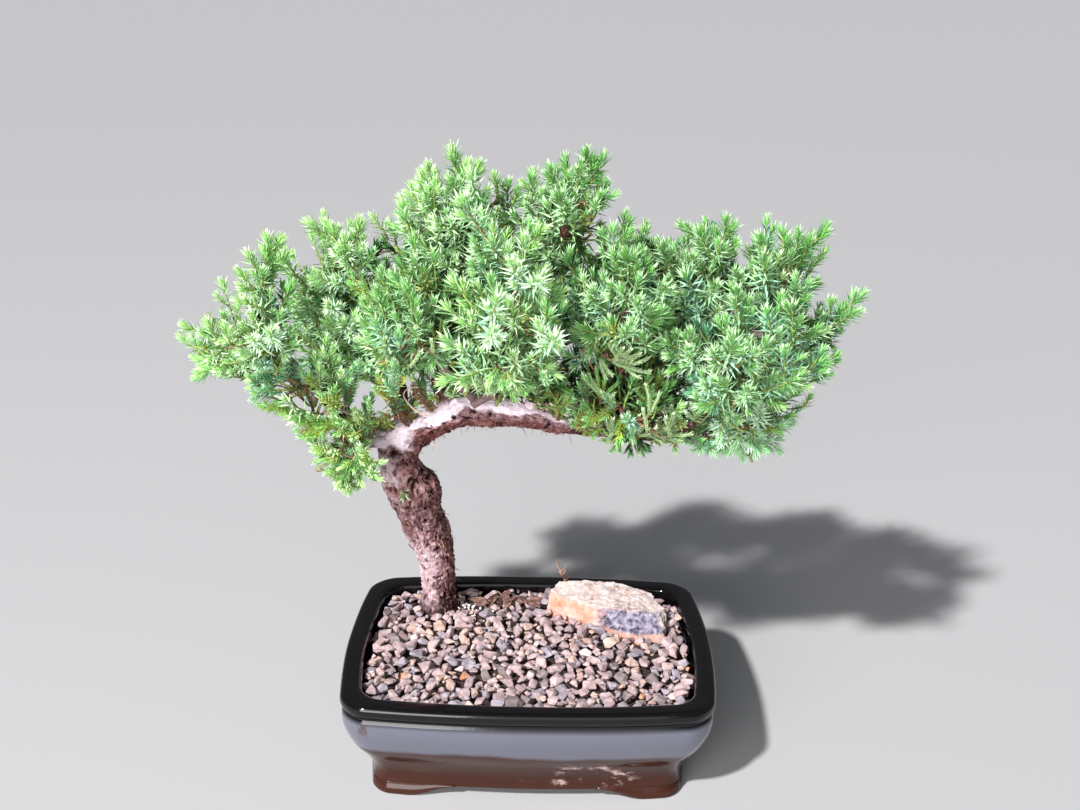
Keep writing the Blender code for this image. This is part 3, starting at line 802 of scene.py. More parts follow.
# how often each family comes up in each part of the crown: outer shoots, inner shoots; the inner shoots mostly take
# the dark and deep kinds, painted shade of the crown's inside
MIX = {
    "left": (dict(fresh=5, fresh2=5.5, green=2.5, blue=0.6, green2=0.8),
             dict(green2=3, olive=3, dark=3, deep=3)),
    "front": (dict(fresh=5, fresh2=6, green=1.6, blue=1.0),
              dict(green2=2, olive=2, dark=3, deep=4, dead=0.3)),
    "top": (dict(fresh=5, fresh2=4, green=3, blue=1.0),
            dict(green2=3, olive=1.5, dark=3, deep=3, dead=0.1)),
    "low": (dict(fresh2=0.6, green=1.6, olive=3, sage=6, green2=2, dark=1),
            dict(olive=1, dark=2, deep=8, dead=0.5)),
    # far low: only pale and icy kinds, painted light on foliage that sits low under the crown
    "far_low": (dict(p=2, p2=4), dict(green2=3, b=2, dark=2)),
    "near_low": (dict(fresh2=4, y=1.0, l=6), dict(green2=3, olive=3, dark=2, dead=0.3)),
    # top right: darker kinds than the top, painted shade
    "top_right": (dict(fresh=2.5, fresh2=1, green=5, green2=2.5, blue=0.4),
                  dict(green2=3, olive=2.5, dark=3, deep=3, dead=0.1)),
    # front left: darker kinds, painted shade
    "front_left": (dict(fresh=0.6, green=3, green2=5, olive=3, dark=1.5),
                   dict(green2=2, olive=3, dark=3, deep=4, dead=0.3)),
    # right: darker kinds, painted shade on the side away from the light
    "right": (dict(fresh=2.6, fresh2=0.7, green=4.5, blue=2.0, blue2=0.9, green2=2.6),
              dict(green2=2, olive=1, dark=3, deep=4, dead=0.15)),
    "back": (dict(fresh=2, fresh2=2, green=4, blue=2.5, blue2=1, green2=1),
             dict(green2=3, olive=2, dark=3, deep=3, dead=0.2)),
}
# how the kinds of the known shoots lean in parts of the crown that are darker or lighter: darker kinds at the right,
# top right and front left are painted shade, paler kinds in the far low part are painted light
SHIFTED = {"right": {"w": "v", "f": "g3"}, "top_right": {"w": "g3", "f": "g3", "g": "green"},
           "front_left": {"w": "green", "f": "green", "g": "green2"}, "near_low": {"h": "l"},
           "far_low": {"b": "p", "h": "p2", "w": "p2", "g": "p", "f": "p2"}}
REGION = {"far_left": "left", "left_front": "left", "left_top": "left", "left_mid": "left",
          "left_low": "near_low", "inner_left": "left", "front_left": "front_left", "front_mid": "front",
          "apex_left": "top", "apex_mid": "top_right", "centre_low": "low", "low_right_tufts": "low",
          "centre_right": "right", "right_inner": "right", "right_top": "right",
          "right_front": "right", "right_low": "far_low", "far_right": "right",
          "back_left": "back", "back_mid": "back", "back_right": "back",
          "back_far_right": "back"}

# tips of the shoots that make the crown's jagged outline
LEADERS = {
    "far_left": ((-197, 12, 250), (-186, 10, 238)), "left_mid": ((-169, 0, 227), (-140, -6, 205)),
    "left_top": ((-107, 26, 310),), "left_low": ((-104, 2, 157),),
    "apex_left": ((-76, 24, 317), (-54, 22, 342), (-41, 20, 351)),
    "apex_mid": ((31, 20, 350), (42, 26, 336)), "right_inner": ((58, 30, 305), (106, 18, 313)),
    "right_top": ((157, 10, 305),), "far_right": ((168, 6, 276), (168, 2, 261)),
    "right_front": ((166, -5, 251),), "right_low": ((149, 0, 218), (107, 4, 185), (97, 4, 187)),
    "low_right_tufts": ((88, -4, 195), (75, -10, 196)),
}
# shoots that carry the near side and the outline: tip, where its needles begin, kind, size
HEROES = {
    "apex_left": (((-57, -9, 347), (-53, -7, 331), "f", 1.05),
        ((-60, -10, 341), (-54, -8, 329), "f", 1.0), ((-67, -10, 335), (-56, -8, 326), "f", 1.0),
        ((-69, -6, 329), (-64, -5, 313), "g", 1.0), ((-50, -14, 343), (-51, -10, 326), "f", 1.0),
        ((-44, 12, 356), (-40, 14, 336), "f", 1.2), ((-33, -2, 351), (-38, -1, 337), "f", 1.0),
        ((-28, 12, 348), (-33, 14, 335), "f", 1.05), ((-33, -12, 346), (-30, -2, 327), "w", 1.1),
        ((-22, 11, 342), (-20, 13, 328), "f", 1.0), ((-45, -7, 342), (-40, -6, 332), "g", 0.9),
        ((-52, -20, 324), (-36, -10, 304), "f", 1.1), ((-30, -16, 327), (-27, -6, 314), "w", 1.0)),
    "apex_mid": (((-8, 11, 335), (-12, 18, 318), "g", 0.9),
        ((-2, -1, 344), (-1, 1, 329), "f", 1.15), ((6, -4, 349), (12, -2, 336), "f", 1.1),
        ((15, 10, 352), (17, 12, 337), "f", 1.15), ((14, -24, 339), (13, -12, 322), "w", 1.1),
        ((23, -7, 352), (25, -4, 342), "f", 0.9), ((27, 10, 356), (28, 12, 339), "f", 1.2),
        ((36, 12, 353), (34, 14, 339), "f", 1.1), ((34, -12, 337), (31, -9, 324), "f", 1.1),
        ((44, -8, 335), (33, -6, 328), "g", 1.0), ((49, 16, 322), (46, 18, 309), "g", 0.95)),
    "back_mid": (((-14, 18, 337), (-14, 26, 315), "g", 1.0),),
    "centre_right": (((19, -22, 310), (19, -19, 291), "g", 1.1),
        ((40, -38, 326), (36, -35, 300), "g", 1.1), ((52, -13, 318), (41, -11, 310), "g", 0.9),
        ((32, -21, 319), (37, -18, 309), "g", 0.9), ((44, -43, 315), (49, -39, 302), "f", 1.0),
        ((51, -40, 315), (50, -37, 302), "f", 1.0), ((66, -7, 311), (69, -4, 296), "f", 1.1),
        ((28, -48, 296), (34, -38, 283), "w", 1.1), ((37, -47, 299), (41, -43, 288), "w", 1.0),
        ((43, -49, 298), (45, -44, 287), "g", 1.0), ((52, -46, 303), (53, -43, 292), "g", 1.0),
        ((52, -59, 294), (53, -43, 281), "w", 1.1), ((64, -49, 298), (67, -31, 287), "w", 1.15),
        ((68, -27, 297), (69, -24, 288), "w", 0.95), ((65, -47, 287), (60, -43, 272), "f", 1.1),
        ((21, -44, 275), (37, -40, 265), "f", 1.15), ((38, -46, 281), (40, -43, 270), "o", 1.0),
        ((47, -50, 279), (48, -46, 267), "f", 1.0), ((50, -48, 282), (49, -47, 272), "g", 1.0),
        ((51, -48, 265), (44, -34, 252), "s", 1.0), ((57, -44, 261), (44, -33, 251), "s", 1.0),
        ((59, -34, 247), (45, -31, 249), "s", 1.0), ((46, -50, 266), (43, -34, 252), "s", 1.0),
        ((40, -31, 239), (35, -28, 250), "s", 1.0), ((44, -32, 242), (37, -29, 249), "s", 1.0),
        ((54, -50, 274), (57, -42, 264), "w", 1.0)),
    "far_left": (((-190, -2, 261), (-174, 0, 246), "f", 1.05),),
    "far_right": (((155, -8, 282), (158, -6, 268), "b", 1.0),
        ((176, -4, 285), (160, -2, 263), "g", 1.15), ((174, -11, 276), (164, -9, 270), "g", 1.0)),
    "front_left": (((-56, -56, 324), (-57, -53, 305), "g", 1.05),
        ((-68, -65, 307), (-59, -61, 294), "f", 1.1), ((-61, -66, 303), (-56, -62, 292), "w", 1.0),
        ((-48, -72, 277), (-47, -69, 269), "s", 1.0), ((-70, -66, 275), (-75, -53, 258), "s", 1.1),
        ((-51, -75, 271), (-58, -67, 260), "s", 1.0),
        ((-67, -66, 263), (-66, -59, 240), "h", 0.62),
        ((-75, -68, 284), (-73, -58, 271), "b", 1.1), ((-63, -71, 281), (-63, -68, 270), "b", 1.0)),
    "front_mid": (((-37, -55, 341), (-16, -41, 309), "w", 1.25),
        ((-20, -52, 328), (-15, -42, 309), "w", 1.05), ((-4, -56, 324), (-5, -46, 308), "w", 1.0),
        ((8, -39, 324), (-3, -35, 312), "f", 1.0), ((-2, -34, 326), (-2, -31, 313), "g", 0.9),
        ((-10, -74, 316), (-9, -62, 301), "w", 1.05), ((-40, -61, 303), (-30, -57, 289), "f", 1.2),
        ((-43, -67, 293), (-31, -63, 274), "f", 1.2), ((-44, -69, 277), (-30, -63, 263), "w", 1.2),
        ((-16, -81, 301), (-17, -71, 283), "w", 1.25),
        ((-10, -74, 297), (-13, -71, 286), "f", 1.0), ((-18, -90, 284), (-18, -72, 273), "w", 1.1),
        ((-45, -83, 255), (-20, -71, 261), "f", 1.25),
        ((-21, -75, 252), (-18, -72, 258), "f", 1.0), ((11, -82, 281), (10, -64, 271), "w", 1.25),
        ((6, -68, 296), (7, -65, 284), "g", 1.05), ((2, -74, 287), (6, -67, 276), "w", 1.0),
        ((3, -79, 308), (4, -63, 298), "w", 1.15), ((-30, -46, 320), (-24, -43, 306), "g", 1.0),
        ((6, -70, 259), (7, -61, 249), "g", 0.7), ((-2, -69, 245), (-4, -67, 251), "o", 0.7),
        ((-10, -73, 250), (-11, -72, 257), "o", 0.7), ((-14, -74, 250), (-15, -72, 256), "g", 0.7)),
    "inner_left": (((-114, 0, 262), (-105, 14, 251), "w", 1.05),
        ((-102, 2, 264), (-104, 12, 247), "w", 1.0), ((-95, 4, 268), (-98, 6, 255), "w", 1.0),
        ((-88, 8, 222), (-77, 15, 212), "o", 0.6)),
    "left_front": (((-174, -7, 265), (-169, -4, 250), "f", 1.0),
        ((-155, -42, 274), (-153, -40, 262), "f", 0.85),
        ((-174, -40, 243), (-151, -37, 250), "f", 1.0),
        ((-152, -23, 297), (-147, -21, 286), "f", 0.9),
        ((-146, -22, 306), (-143, -19, 290), "f", 1.0),
        ((-152, -26, 289), (-143, -24, 284), "f", 0.85),
        ((-153, -32, 282), (-144, -30, 279), "f", 0.9),
        ((-137, -15, 314), (-136, -11, 298), "f", 1.1),
        ((-141, -14, 306), (-136, -12, 297), "f", 0.9),
        ((-131, -10, 312), (-134, -9, 299), "f", 1.0),
        ((-128, -11, 305), (-132, -9, 293), "f", 1.0),
        ((-138, -25, 298), (-138, -21, 285), "g", 0.9),
        ((-140, -49, 268), (-138, -37, 257), "w", 1.0),
        ((-131, -47, 272), (-133, -37, 260), "w", 1.0),
        ((-130, -41, 269), (-130, -29, 255), "w", 0.95),
        ((-125, -13, 289), (-126, -13, 276), "g", 0.9),
        ((-143, -37, 248), (-134, -24, 244), "h", 0.66)),
    "left_low": (((-150, -12, 218), (-103, 2, 204), "h", 0.76),
        ((-146, -16, 220), (-110, -5, 202), "l", 0.74), ((-129, -13, 207), (-97, -1, 202), "l", 0.74),
        ((-137, -15, 214), (-106, -4, 199), "h", 0.70), ((-118, -9, 203), (-88, 2, 203), "y", 0.66),
        ((-154, -15, 227), (-139, -10, 234), "h", 0.70), ((-153, -16, 221), (-138, -11, 228), "p", 0.66),
        ((-121, -17, 197), (-109, -15, 191), "h", 0.62),
        ((-116, -18, 187), (-107, -16, 189), "y", 0.6),
        ((-114, -10, 177), (-96, 4, 162), "h", 0.74),
        ((-107, -12, 169), (-100, -1, 162), "h", 0.66), ((-91, 4, 156), (-95, 8, 160), "h", 0.6),
        ((-95, -11, 195), (-87, -4, 170), "h", 0.74), ((-85, 3, 181), (-89, 6, 171), "h", 0.6),
        ((-109, -11, 200), (-100, -6, 200), "y", 0.6), ((-99, -12, 198), (-95, 2, 198), "y", 0.6),
        ((-98, -5, 214), (-96, 9, 201), "h", 0.6), ((-106, -18, 182), (-99, -15, 186), "h", 0.62)),
    "left_mid": (((-92, -12, 245), (-99, -10, 223), "h", 0.6),
        ((-113, -19, 245), (-112, -16, 234), "w", 0.8),
        ((-104, -20, 233), (-105, -18, 220), "o", 0.7),
        ((-115, -26, 228), (-105, -18, 220), "o", 0.75),
        ((-147, -24, 231), (-126, -22, 225), "h", 0.68),
        ((-126, -12, 199), (-116, -10, 204), "y", 0.65),
        ((-89, -5, 220), (-90, -2, 208), "g", 0.55),
        ((-151, -14, 234), (-137, -12, 236), "h", 0.66),
        ((-122, -21, 240), (-117, -19, 232), "o", 0.6)),
    "left_top": (((-120, -2, 287), (-99, 9, 274), "w", 1.05),
        ((-121, 0, 275), (-126, 12, 260), "g", 0.95), ((-111, -3, 274), (-104, 8, 261), "w", 1.0),
        ((-125, 18, 313), (-106, 19, 298), "f", 1.15),
        ((-112, 12, 315), (-107, 14, 302), "f", 1.0), ((-101, 3, 310), (-99, 6, 296), "f", 1.0),
        ((-107, 0, 300), (-96, 11, 291), "f", 1.0), ((-94, 20, 316), (-95, 21, 298), "f", 1.1),
        ((-90, 28, 315), (-82, 30, 302), "f", 1.05), ((-104, 4, 304), (-97, 8, 292), "f", 1.0),
        ((-91, 6, 304), (-94, 16, 288), "w", 1.0), ((-81, 30, 312), (-77, 32, 299), "f", 1.0)),
    "low_right_tufts": (((29, -20, 243), (33, -18, 233), "s", 1.0),
        ((26, -21, 242), (32, -19, 231), "s", 1.0), ((58, -35, 243), (63, -33, 230), "s", 1.0),
        ((67, -35, 239), (65, -33, 229), "s", 1.0), ((36, -33, 235), (42, -31, 229), "h", 0.66),
        ((42, -34, 236), (43, -32, 229), "s", 0.9), ((27, -36, 216), (32, -34, 220), "y", 0.55),
        ((32, -20, 203), (37, -18, 209), "y", 0.55), ((46, -24, 200), (47, -22, 209), "y", 0.6),
        ((40, -24, 201), (44, -22, 210), "s", 1.0), ((55, -24, 202), (53, -22, 210), "h", 0.62),
        ((49, -41, 227), (53, -37, 215), "h", 0.66), ((57, -41, 232), (60, -39, 218), "s", 1.0),
        ((69, -40, 227), (72, -34, 213), "s", 1.1), ((74, -34, 227), (74, -29, 212), "s", 1.1),
        ((84, -5, 210), (80, -2, 199), "s", 1.0), ((87, -15, 206), (76, -13, 202), "s", 1.0),
        ((65, -31, 216), (72, -17, 203), "s", 1.0)),
    "right_front": (((127, -51, 291), (132, -39, 270), "w", 1.1),
        ((99, -50, 298), (106, -36, 279), "w", 1.2), ((107, -46, 292), (106, -36, 279), "b", 1.0),
        ((113, -58, 291), (116, -54, 276), "b", 1.05),
        ((147, -35, 275), (141, -31, 266), "f", 1.0), ((80, -40, 274), (80, -36, 262), "f", 1.0),
        ((96, -69, 280), (100, -59, 256), "w", 1.25), ((112, -74, 280), (112, -64, 260), "w", 1.2),
        ((149, -40, 265), (143, -37, 253), "b", 1.1), ((153, -38, 256), (145, -35, 248), "b", 1.0),
        ((160, -18, 243), (151, -16, 238), "b", 1.0),
        ((135, -65, 260), (114, -55, 239), "w", 1.15), ((88, -68, 271), (89, -52, 256), "w", 1.1),
        ((91, -59, 254), (99, -56, 244), "w", 1.0), ((81, -57, 237), (98, -54, 239), "w", 1.15),
        ((106, -65, 252), (108, -55, 238), "w", 1.0), ((152, -8, 228), (148, -6, 220), "o", 0.8),
        ((83, -64, 253), (91, -52, 243), "b", 1.0), ((77, -53, 268), (80, -41, 255), "w", 1.0),
        ((103, -65, 275), (106, -62, 263), "b", 1.0), ((122, -63, 272), (125, -57, 257), "b", 1.0),
        ((126, -31, 291), (128, -29, 278), "g", 1.0), ((64, -41, 268), (77, -31, 258), "w", 1.2),
        ((71, -35, 269), (78, -31, 260), "w", 1.0), ((67, -44, 259), (77, -32, 256), "w", 1.1),
        ((69, -39, 247), (77, -35, 254), "w", 1.0)),
    "right_inner": (((75, 10, 317), (90, 12, 303), "f", 1.05),
        ((84, -6, 318), (89, -3, 301), "f", 1.1), ((72, 1, 305), (74, 3, 292), "g", 0.9),
        ((100, 8, 322), (103, 10, 301), "f", 1.2), ((107, 4, 311), (103, 6, 298), "g", 0.95),
        ((94, -7, 312), (99, -5, 301), "g", 0.9), ((76, -20, 298), (89, -6, 270), "b", 1.25),
        ((94, -21, 293), (92, -9, 278), "w", 1.1)),
    "right_low": (((118, -36, 230), (123, -22, 215), "b", 1.0),
        ((100, -29, 204), (102, -19, 212), "w", 1.0), ((110, -25, 197), (112, -22, 207), "b", 1.0),
        ((121, -27, 196), (119, -24, 206), "b", 1.1),
        ((128, -23, 198), (122, -22, 202), "b", 0.95),
        ((125, -27, 209), (118, -23, 211), "b", 0.95),
        ((136, -21, 209), (129, -19, 210), "o", 0.8), ((140, -18, 215), (132, -16, 211), "g", 0.8)),
    "right_top": (((115, -9, 316), (119, -6, 300), "f", 1.15),
        ((126, -8, 320), (133, -7, 301), "g", 1.1), ((135, -9, 319), (139, -7, 301), "f", 1.05),
        ((154, 0, 320), (140, 2, 298), "f", 1.2), ((142, -8, 315), (143, -6, 303), "f", 0.95),
        ((117, -21, 309), (119, -11, 285), "w", 1.15),
        ((134, -19, 298), (136, -15, 278), "g", 1.05),
        ((143, -19, 295), (138, -17, 284), "b", 1.0),
        ((144, -20, 286), (138, -16, 279), "b", 0.95), ((105, -4, 296), (110, 4, 281), "w", 1.0)),
}
# loose spaces between the masses that the photograph shows as dark foliage in shade: the inner shoots put here take
# dark kinds, painted shade; centre, half sizes
FILLS = (((78, 18, 212), (26, 12, 14)), ((44, 22, 214), (28, 12, 12)),
         ((-66, 12, 300), (26, 20, 26)), ((-14, 14, 306), (16, 22, 28)),
         ((-96, 14, 262), (24, 22, 30)), ((-40, -6, 240), (38, 24, 22)),
         ((16, 4, 246), (34, 26, 30)), ((52, 16, 244), (30, 26, 30)),
         ((60, 4, 232), (34, 22, 24)), ((84, 6, 262), (26, 24, 26)),
         ((108, 8, 236), (28, 26, 30)), ((128, 8, 222), (22, 22, 24)),
         ((62, 14, 288), (16, 22, 20)), ((84, 8, 222), (30, 20, 20)),
         ((-12, 20, 228), (44, 22, 14)), ((-70, 18, 232), (22, 18, 18)),
         ((-13, 18, 318), (12, 14, 16)), ((-79, 24, 296), (12, 14, 14)),
         ((9, 8, 281), (12, 14, 18)), ((26, 5, 238), (18, 18, 20)), ((79, 5, 246), (16, 16, 18)),
         ((87, 0, 214), (14, 14, 16)), ((-121, 0, 192), (10, 10, 9)), ((-79, 12, 222), (12, 14, 12)),
         ((55, -12, 199), (10, 10, 8)), ((-14, 20, 296), (12, 14, 14)),
        ((30, 12, 216), (16, 12, 10)), ((52, 12, 214), (16, 12, 11)), ((76, 12, 213), (16, 12, 11)),
        ((96, 12, 212), (14, 12, 11)), ((14, 14, 222), (14, 12, 10)), ((68, 2, 226), (16, 12, 12)),
        ((-84, 26, 300), (12, 14, 12)), ((34, 25, 213), (16, 9, 12)), ((52, 24, 210), (16, 9, 10)),
        ((70, 23, 212), (16, 9, 11)), ((88, 20, 212), (14, 9, 10)))


def draw_family(rng, weights, n):
    names = sorted(weights)
    w = np.array([weights[k] for k in names], float)
    ids = np.array([FAM_NAMES.index(k) for k in names])
    return FAM_TABLE[ids[rng.choice(len(names), n, p=w / w.sum())]]


def side_shoots(rng, parent, N, spacing, reach, share, first=(11.0, 18.0), sizes=(8.0, 19.0)):
    """Shoots that leave a parent shoot at an angle, all round it in a spiral."""
    src, back = [], []
    for i in range(len(parent.p0)):
        d = rng.uniform(*first)
        while d < min(parent.clad[i], parent.L[i] * 0.95) * 0.96:
            src.append(i)
            back.append(d)
            d += spacing * rng.uniform(0.75, 1.3)
    src, back = np.array(src, int), np.array(back)
    if not len(src):
        return None
    pos, tan = parent.at(back, src)
    ref = np.where(np.abs(tan[:, 2:3]) < 0.9, np.array([[0, 0, 1.0]]), np.array([[1.0, 0, 0]]))
    s1 = unit(np.cross(tan, ref))
    s2 = np.cross(tan, s1)
    a = np.arange(len(src)) * 2.39996 + rng.normal(0, 0.4, len(src))
    rnd = s1 * np.cos(a)[:, None] + s2 * np.sin(a)[:, None]
    inward = (rnd * N[src]).sum(1) < -0.35
    keep = ~inward | (rng.random(len(src)) < share)
    src, back, pos, tan, rnd = src[keep], back[keep], pos[keep], tan[keep], rnd[keep]
    ang = np.radians(rng.uniform(32, 52, len(src)))
    sd = tan * np.cos(ang)[:, None] + rnd * np.sin(ang)[:, None]
    ln = np.clip((4.5 + reach * back) * rng.uniform(0.75, 1.2, len(src)), *sizes)
    end = unit(sd * 0.40 + tan * 0.75 + np.array([0, 0, 0.25]))
    p1 = pos + unit(sd + end) * ln[:, None]
    ok = ~in_open(p1, 1.5)
    s = Shoots(*(x[ok] for x in (pos, sd, p1, end, ln * 0.93,
                                 parent.size[src] * rng.uniform(0.88, 1.0, len(src)),
                                 parent.family[src], parent.style[src])))
    return s, src[ok]


def crown():
    rng = np.random.default_rng(31)
    masses = {n[5:]: Mass(n[5:], NODES[n]) for n in sorted(NODES) if n.startswith("mass_")}
    names = list(masses)
    centres = np.array([masses[n].c for n in names])
    needle_mats, twig_mats = needle_materials(), twig_materials()
    limbs = [smooth_path(STEM, 4.0)] + [smooth_path(BOUGHS[b], 6.0) for b in sorted(BOUGHS)]
    limb_pts = np.concatenate(limbs)
    near = {a: [b for b in masses if b != a
                and np.linalg.norm(masses[a].c - masses[b].c) < 125] for a in masses}

    # shoot tips. layer 0: leaders on the outline, 1: the open surface, 2: under it, 3: deep
    P, N, owner, layer, hero = [], [], [], [], []
    known = [(name, np.array(a, float), np.array(b, float), kind, size)
             for name in names for a, b, kind, size in HEROES.get(name, ())]

    def put(p, n, o, k, h=-1):
        P.append(p), N.append(n), owner.append(o), layer.append(k), hero.append(h)

    for k, (name, a, b, kind, size) in enumerate(known):
        put(a - unit(a - b) * 4.0 * size, unit(a - masses[name].c), name, 0, k)

    for name, m in masses.items():
        for q in LEADERS.get(name, ()):
            q = np.array(q, float)
            put(q, unit(q - m.c), name, 0)
        cnt = int(m.area.sum() / 7.0)
        tri = rng.choice(len(m.F), cnt, p=m.area / m.area.sum())
        r1, r2 = np.sqrt(rng.random(cnt)), rng.random(cnt)
        a, b, c = (m.V[m.F[tri, i]] for i in range(3))
        pts = (1 - r1)[:, None] * a + (r1 * (1 - r2))[:, None] * b + (r1 * r2)[:, None] * c
        nor = unit(m.normal[tri] * 0.6 + unit(pts - m.c) * 0.4)
        for p, nn in zip(pts, nor):
            q = p + nn * 5.0
            shut = any(np.abs(q - masses[o].c).max() < 70 and masses[o].depth(q) > 0
                       for o in near[name])
            if shut:
                if rng.random() < 0.25:
                    put(p - nn * rng.uniform(2, 9), nn, name, 2)
            else:
                put(p - nn * min(1.5 + rng.exponential(3.6), 14.0), nn, name, 1)
                if rng.random() < 0.35:
                    put(p - nn * rng.uniform(13, 26), nn, name, 3)
    for c, h in FILLS:
        c, h = np.array(c, float), np.array(h, float)
        for _ in range(int(np.prod(h) / 90) + 14):
            d = unit(rng.normal(0, 1, 3))
            p = c + d * h * rng.random() ** (1 / 3)
            k = int(np.argmin(np.linalg.norm(centres - p, axis=1)))
            m = masses[names[k]]
            if m.depth(p) > 8.0:
                continue
            put(p, unit(p - m.c), names[k], 2)
    # the creases between neighbouring masses, at the front and at the back
    P, N, owner, layer, hero = (np.array(P), np.array(N), np.array(owner), np.array(layer),
                                np.array(hero))
    outer = {k: np.nonzero((owner == k) & (layer == 1))[0] for k in masses}
    extra = []
    for ka in names:
        for kb in near[ka]:
            if ka >= kb or not len(outer[ka]) or not len(outer[kb]):
                continue
            a = rng.choice(outer[ka], 900)
            b = rng.choice(outer[kb], 900)
            gap_ = np.linalg.norm(P[a] - P[b], axis=1)
            t = rng.uniform(0.3, 0.7, len(a))[:, None]
            mid = P[a] * (1 - t) + P[b] * t
            nn = unit(N[a] + N[b])
            good = (gap_ < 40) & (gap_ > 8) & ((mid[:, 1] < 0) | (mid[:, 1] > 44))
            for p, q in zip(mid[good][:70], nn[good][:70]):
                if all(masses[o].depth(p) < -0.5 for o in {ka, kb} | set(near[ka])
                       if np.abs(p - masses[o].c).max() < 75):
                    extra.append((p - q * 1.5, q, ka if rng.random() < 0.5 else kb))
    if extra:
        P = np.concatenate([P, [e[0] for e in extra]])
        N = np.concatenate([N, [e[1] for e in extra]])
        owner = np.concatenate([owner, [e[2] for e in extra]])
        layer = np.concatenate([layer, np.ones(len(extra), int)])
        hero = np.concatenate([hero, np.full(len(extra), -1)])
    stamp("crease tips %d" % len(extra))
    d2 = np.full(len(P), 1e9)
    for q in limb_pts:
        d2 = np.minimum(d2, ((P - q[:3]) ** 2).sum(1) - (q[3] + 4.0) ** 2)
    ok = (d2 > 0) | (layer == 0)
    # nothing grows close in front of the shoots that are known
    for _, a, b, _, size in known:
        seg = (b - a) + CAM_WAY * float((a - b) @ CAM_WAY)
        rel = P - a
        ahead = rel @ CAM_WAY
        rel = rel - ahead[:, None] * CAM_WAY
        t = np.clip((rel @ seg) / (seg @ seg + 1e-9), -0.1, 0.75)
        away = np.linalg.norm(rel - t[:, None] * seg, axis=1)
        ok &= ~((layer > 0) & (ahead > -3.0) & (away < 6.5 * size))
    ok &= ~((owner == "left_low") & (P[:, 0] > -93) & (P[:, 1] < 30))     # clear of the trunk
    ok &= ~in_open(P, 2.0) | (hero >= 0)
    P, N, owner, layer, hero = P[ok], N[ok], owner[ok], layer[ok], hero[ok]
    gap = np.choose(layer, [0.5, 12.4, 10.0, 11.6])
    gap[(layer == 2) & np.isin(owner, ("low_right_tufts", "centre_low", "right_low"))] = 7.8
    prio = layer * 10 + rng.random(len(P))
    keep = poisson(P, prio, gap)
    P, N, owner, layer, hero = P[keep], N[keep], owner[keep], layer[keep], hero[keep]
    n = len(P)

    # the way each shoot points, and how long it is
    root = np.array([LEADS[o][-1] for o in owner], float)
    rad = unit(P - root)
    low = sstep(-0.15, -0.75, N[:, 2])
    D = unit(rad * 0.60 + N * 0.32 + np.stack([0 * low, 0 * low, 0.62 - 0.62 * low], 1)
             + rng.normal(0, 0.15, (n, 3)))
    lead = layer == 0
    D[lead] = unit(rad[lead] * 0.7 + N[lead] * 0.3 + np.stack([0 * low, 0 * low, 0.5 - 0.35 * low], 1)[lead]
                   + rng.normal(0, 0.08, (lead.sum(), 3)))
    P[lead & (hero < 0)] -= D[lead & (hero < 0)] * 4.0     # the needles' points make the outline
    A = np.where(lead, rng.uniform(30, 44, n), np.where(layer == 1, rng.uniform(26, 40, n),
                                                       rng.uniform(15, 26, n)))
    size = rng.uniform(0.88, 1.08, n)
    given = np.full(n, "", dtype=object)
    for i in np.nonzero(hero >= 0)[0]:
        _, a, b, kind, sz = known[hero[i]]
        D[i], A[i], size[i], given[i] = unit(a - b), np.linalg.norm(a - b), sz, kind
    feet = P - D * (A * 0.92)[:, None]

    groups = {k: [] for k in MIX}
    total = needles = 0
    for name, m in masses.items():
        tips = np.nonzero(owner == name)[0]
        route = LEADS[name]
        start = np.array(route[-1], float)
        segs, ends = [], []
        grow(rng, feet, tips, start, unit(start - np.array(route[-2], float)), segs, ends)
        ti = np.array([e[2] for e in ends])
        p0, d0 = np.array([e[0] for e in ends]), np.array([e[1] for e in ends])
        p1, d1, a, lay = P[ti], D[ti], A[ti], layer[ti]
        # the shoot needs room for its needles
        short = (np.linalg.norm(p1 - p0, axis=1) < a * 0.8) | (
            (hero[ti] >= 0) & (((p1 - p0) * d1).sum(1) < 0.8 * np.linalg.norm(p1 - p0, axis=1)))
        fork, leave = p0[short].copy(), d0[short].copy()
        p0[short] = p1[short] - d1[short] * (a[short] * 0.9)[:, None]
        d0 = unit(unit(p1 - p0) * 0.8 + d0 * 0.4)
        a = np.where(hero[ti] >= 0, np.clip(np.linalg.norm(p1 - p0, axis=1) * 0.97, a, 46.0), a)
        region = REGION[name]
        fam = np.where((lay < 2)[:, None], draw_family(rng, MIX[region][0], len(ti)),
                       draw_family(rng, MIX[region][1], len(ti)))
        for i, t in enumerate(ti):
            if given[t]:
                kind = SHIFTED.get(region, {}).get(given[t], given[t])
                fam[i] = FAM_TABLE[FAM_NAMES.index(kind)]
        known_ = hero[ti] >= 0
        style = np.where(lay >= 2, 3, np.where(fam[:, 0] == TINT_ID["sage"], 1,
                         np.where(known_ & (size[ti] < 0.77), 2, np.where(lay == 0, 4, 0))))
        main = Shoots(p0, d0, p1, d1, a, size[ti], fam, style)
        free = main.clear() | known_
        main = main.only(free)
        chunks = groups[region]
        joined = short & free
        if joined.any():
            fork, leave = fork[free[short]], leave[free[short]]
            reach = (np.linalg.norm(p0[joined] - fork, axis=1) * 0.8)[:, None]
            tt = np.repeat(np.linspace(0, 1, 4)[None], joined.sum(), 0)
            pos, tan = hermite(fork[:, None], (leave * reach)[:, None], p0[joined][:, None],
                               (d0[joined] * reach)[:, None], tt)
            chunks.append(tube_arrays(pos, tan, np.full(pos.shape[:2], 0.5), 3,
                                      np.full(len(pos), 2)))
        tone = np.where(main.L < 45, 0, rng.integers(0, 2, len(main.L)))
        chunks.append(main.stems(rng, 4, (0.85, 0.7, 0.55, 0.35), 3, tone))
        arrays = [main.needles(rng)]
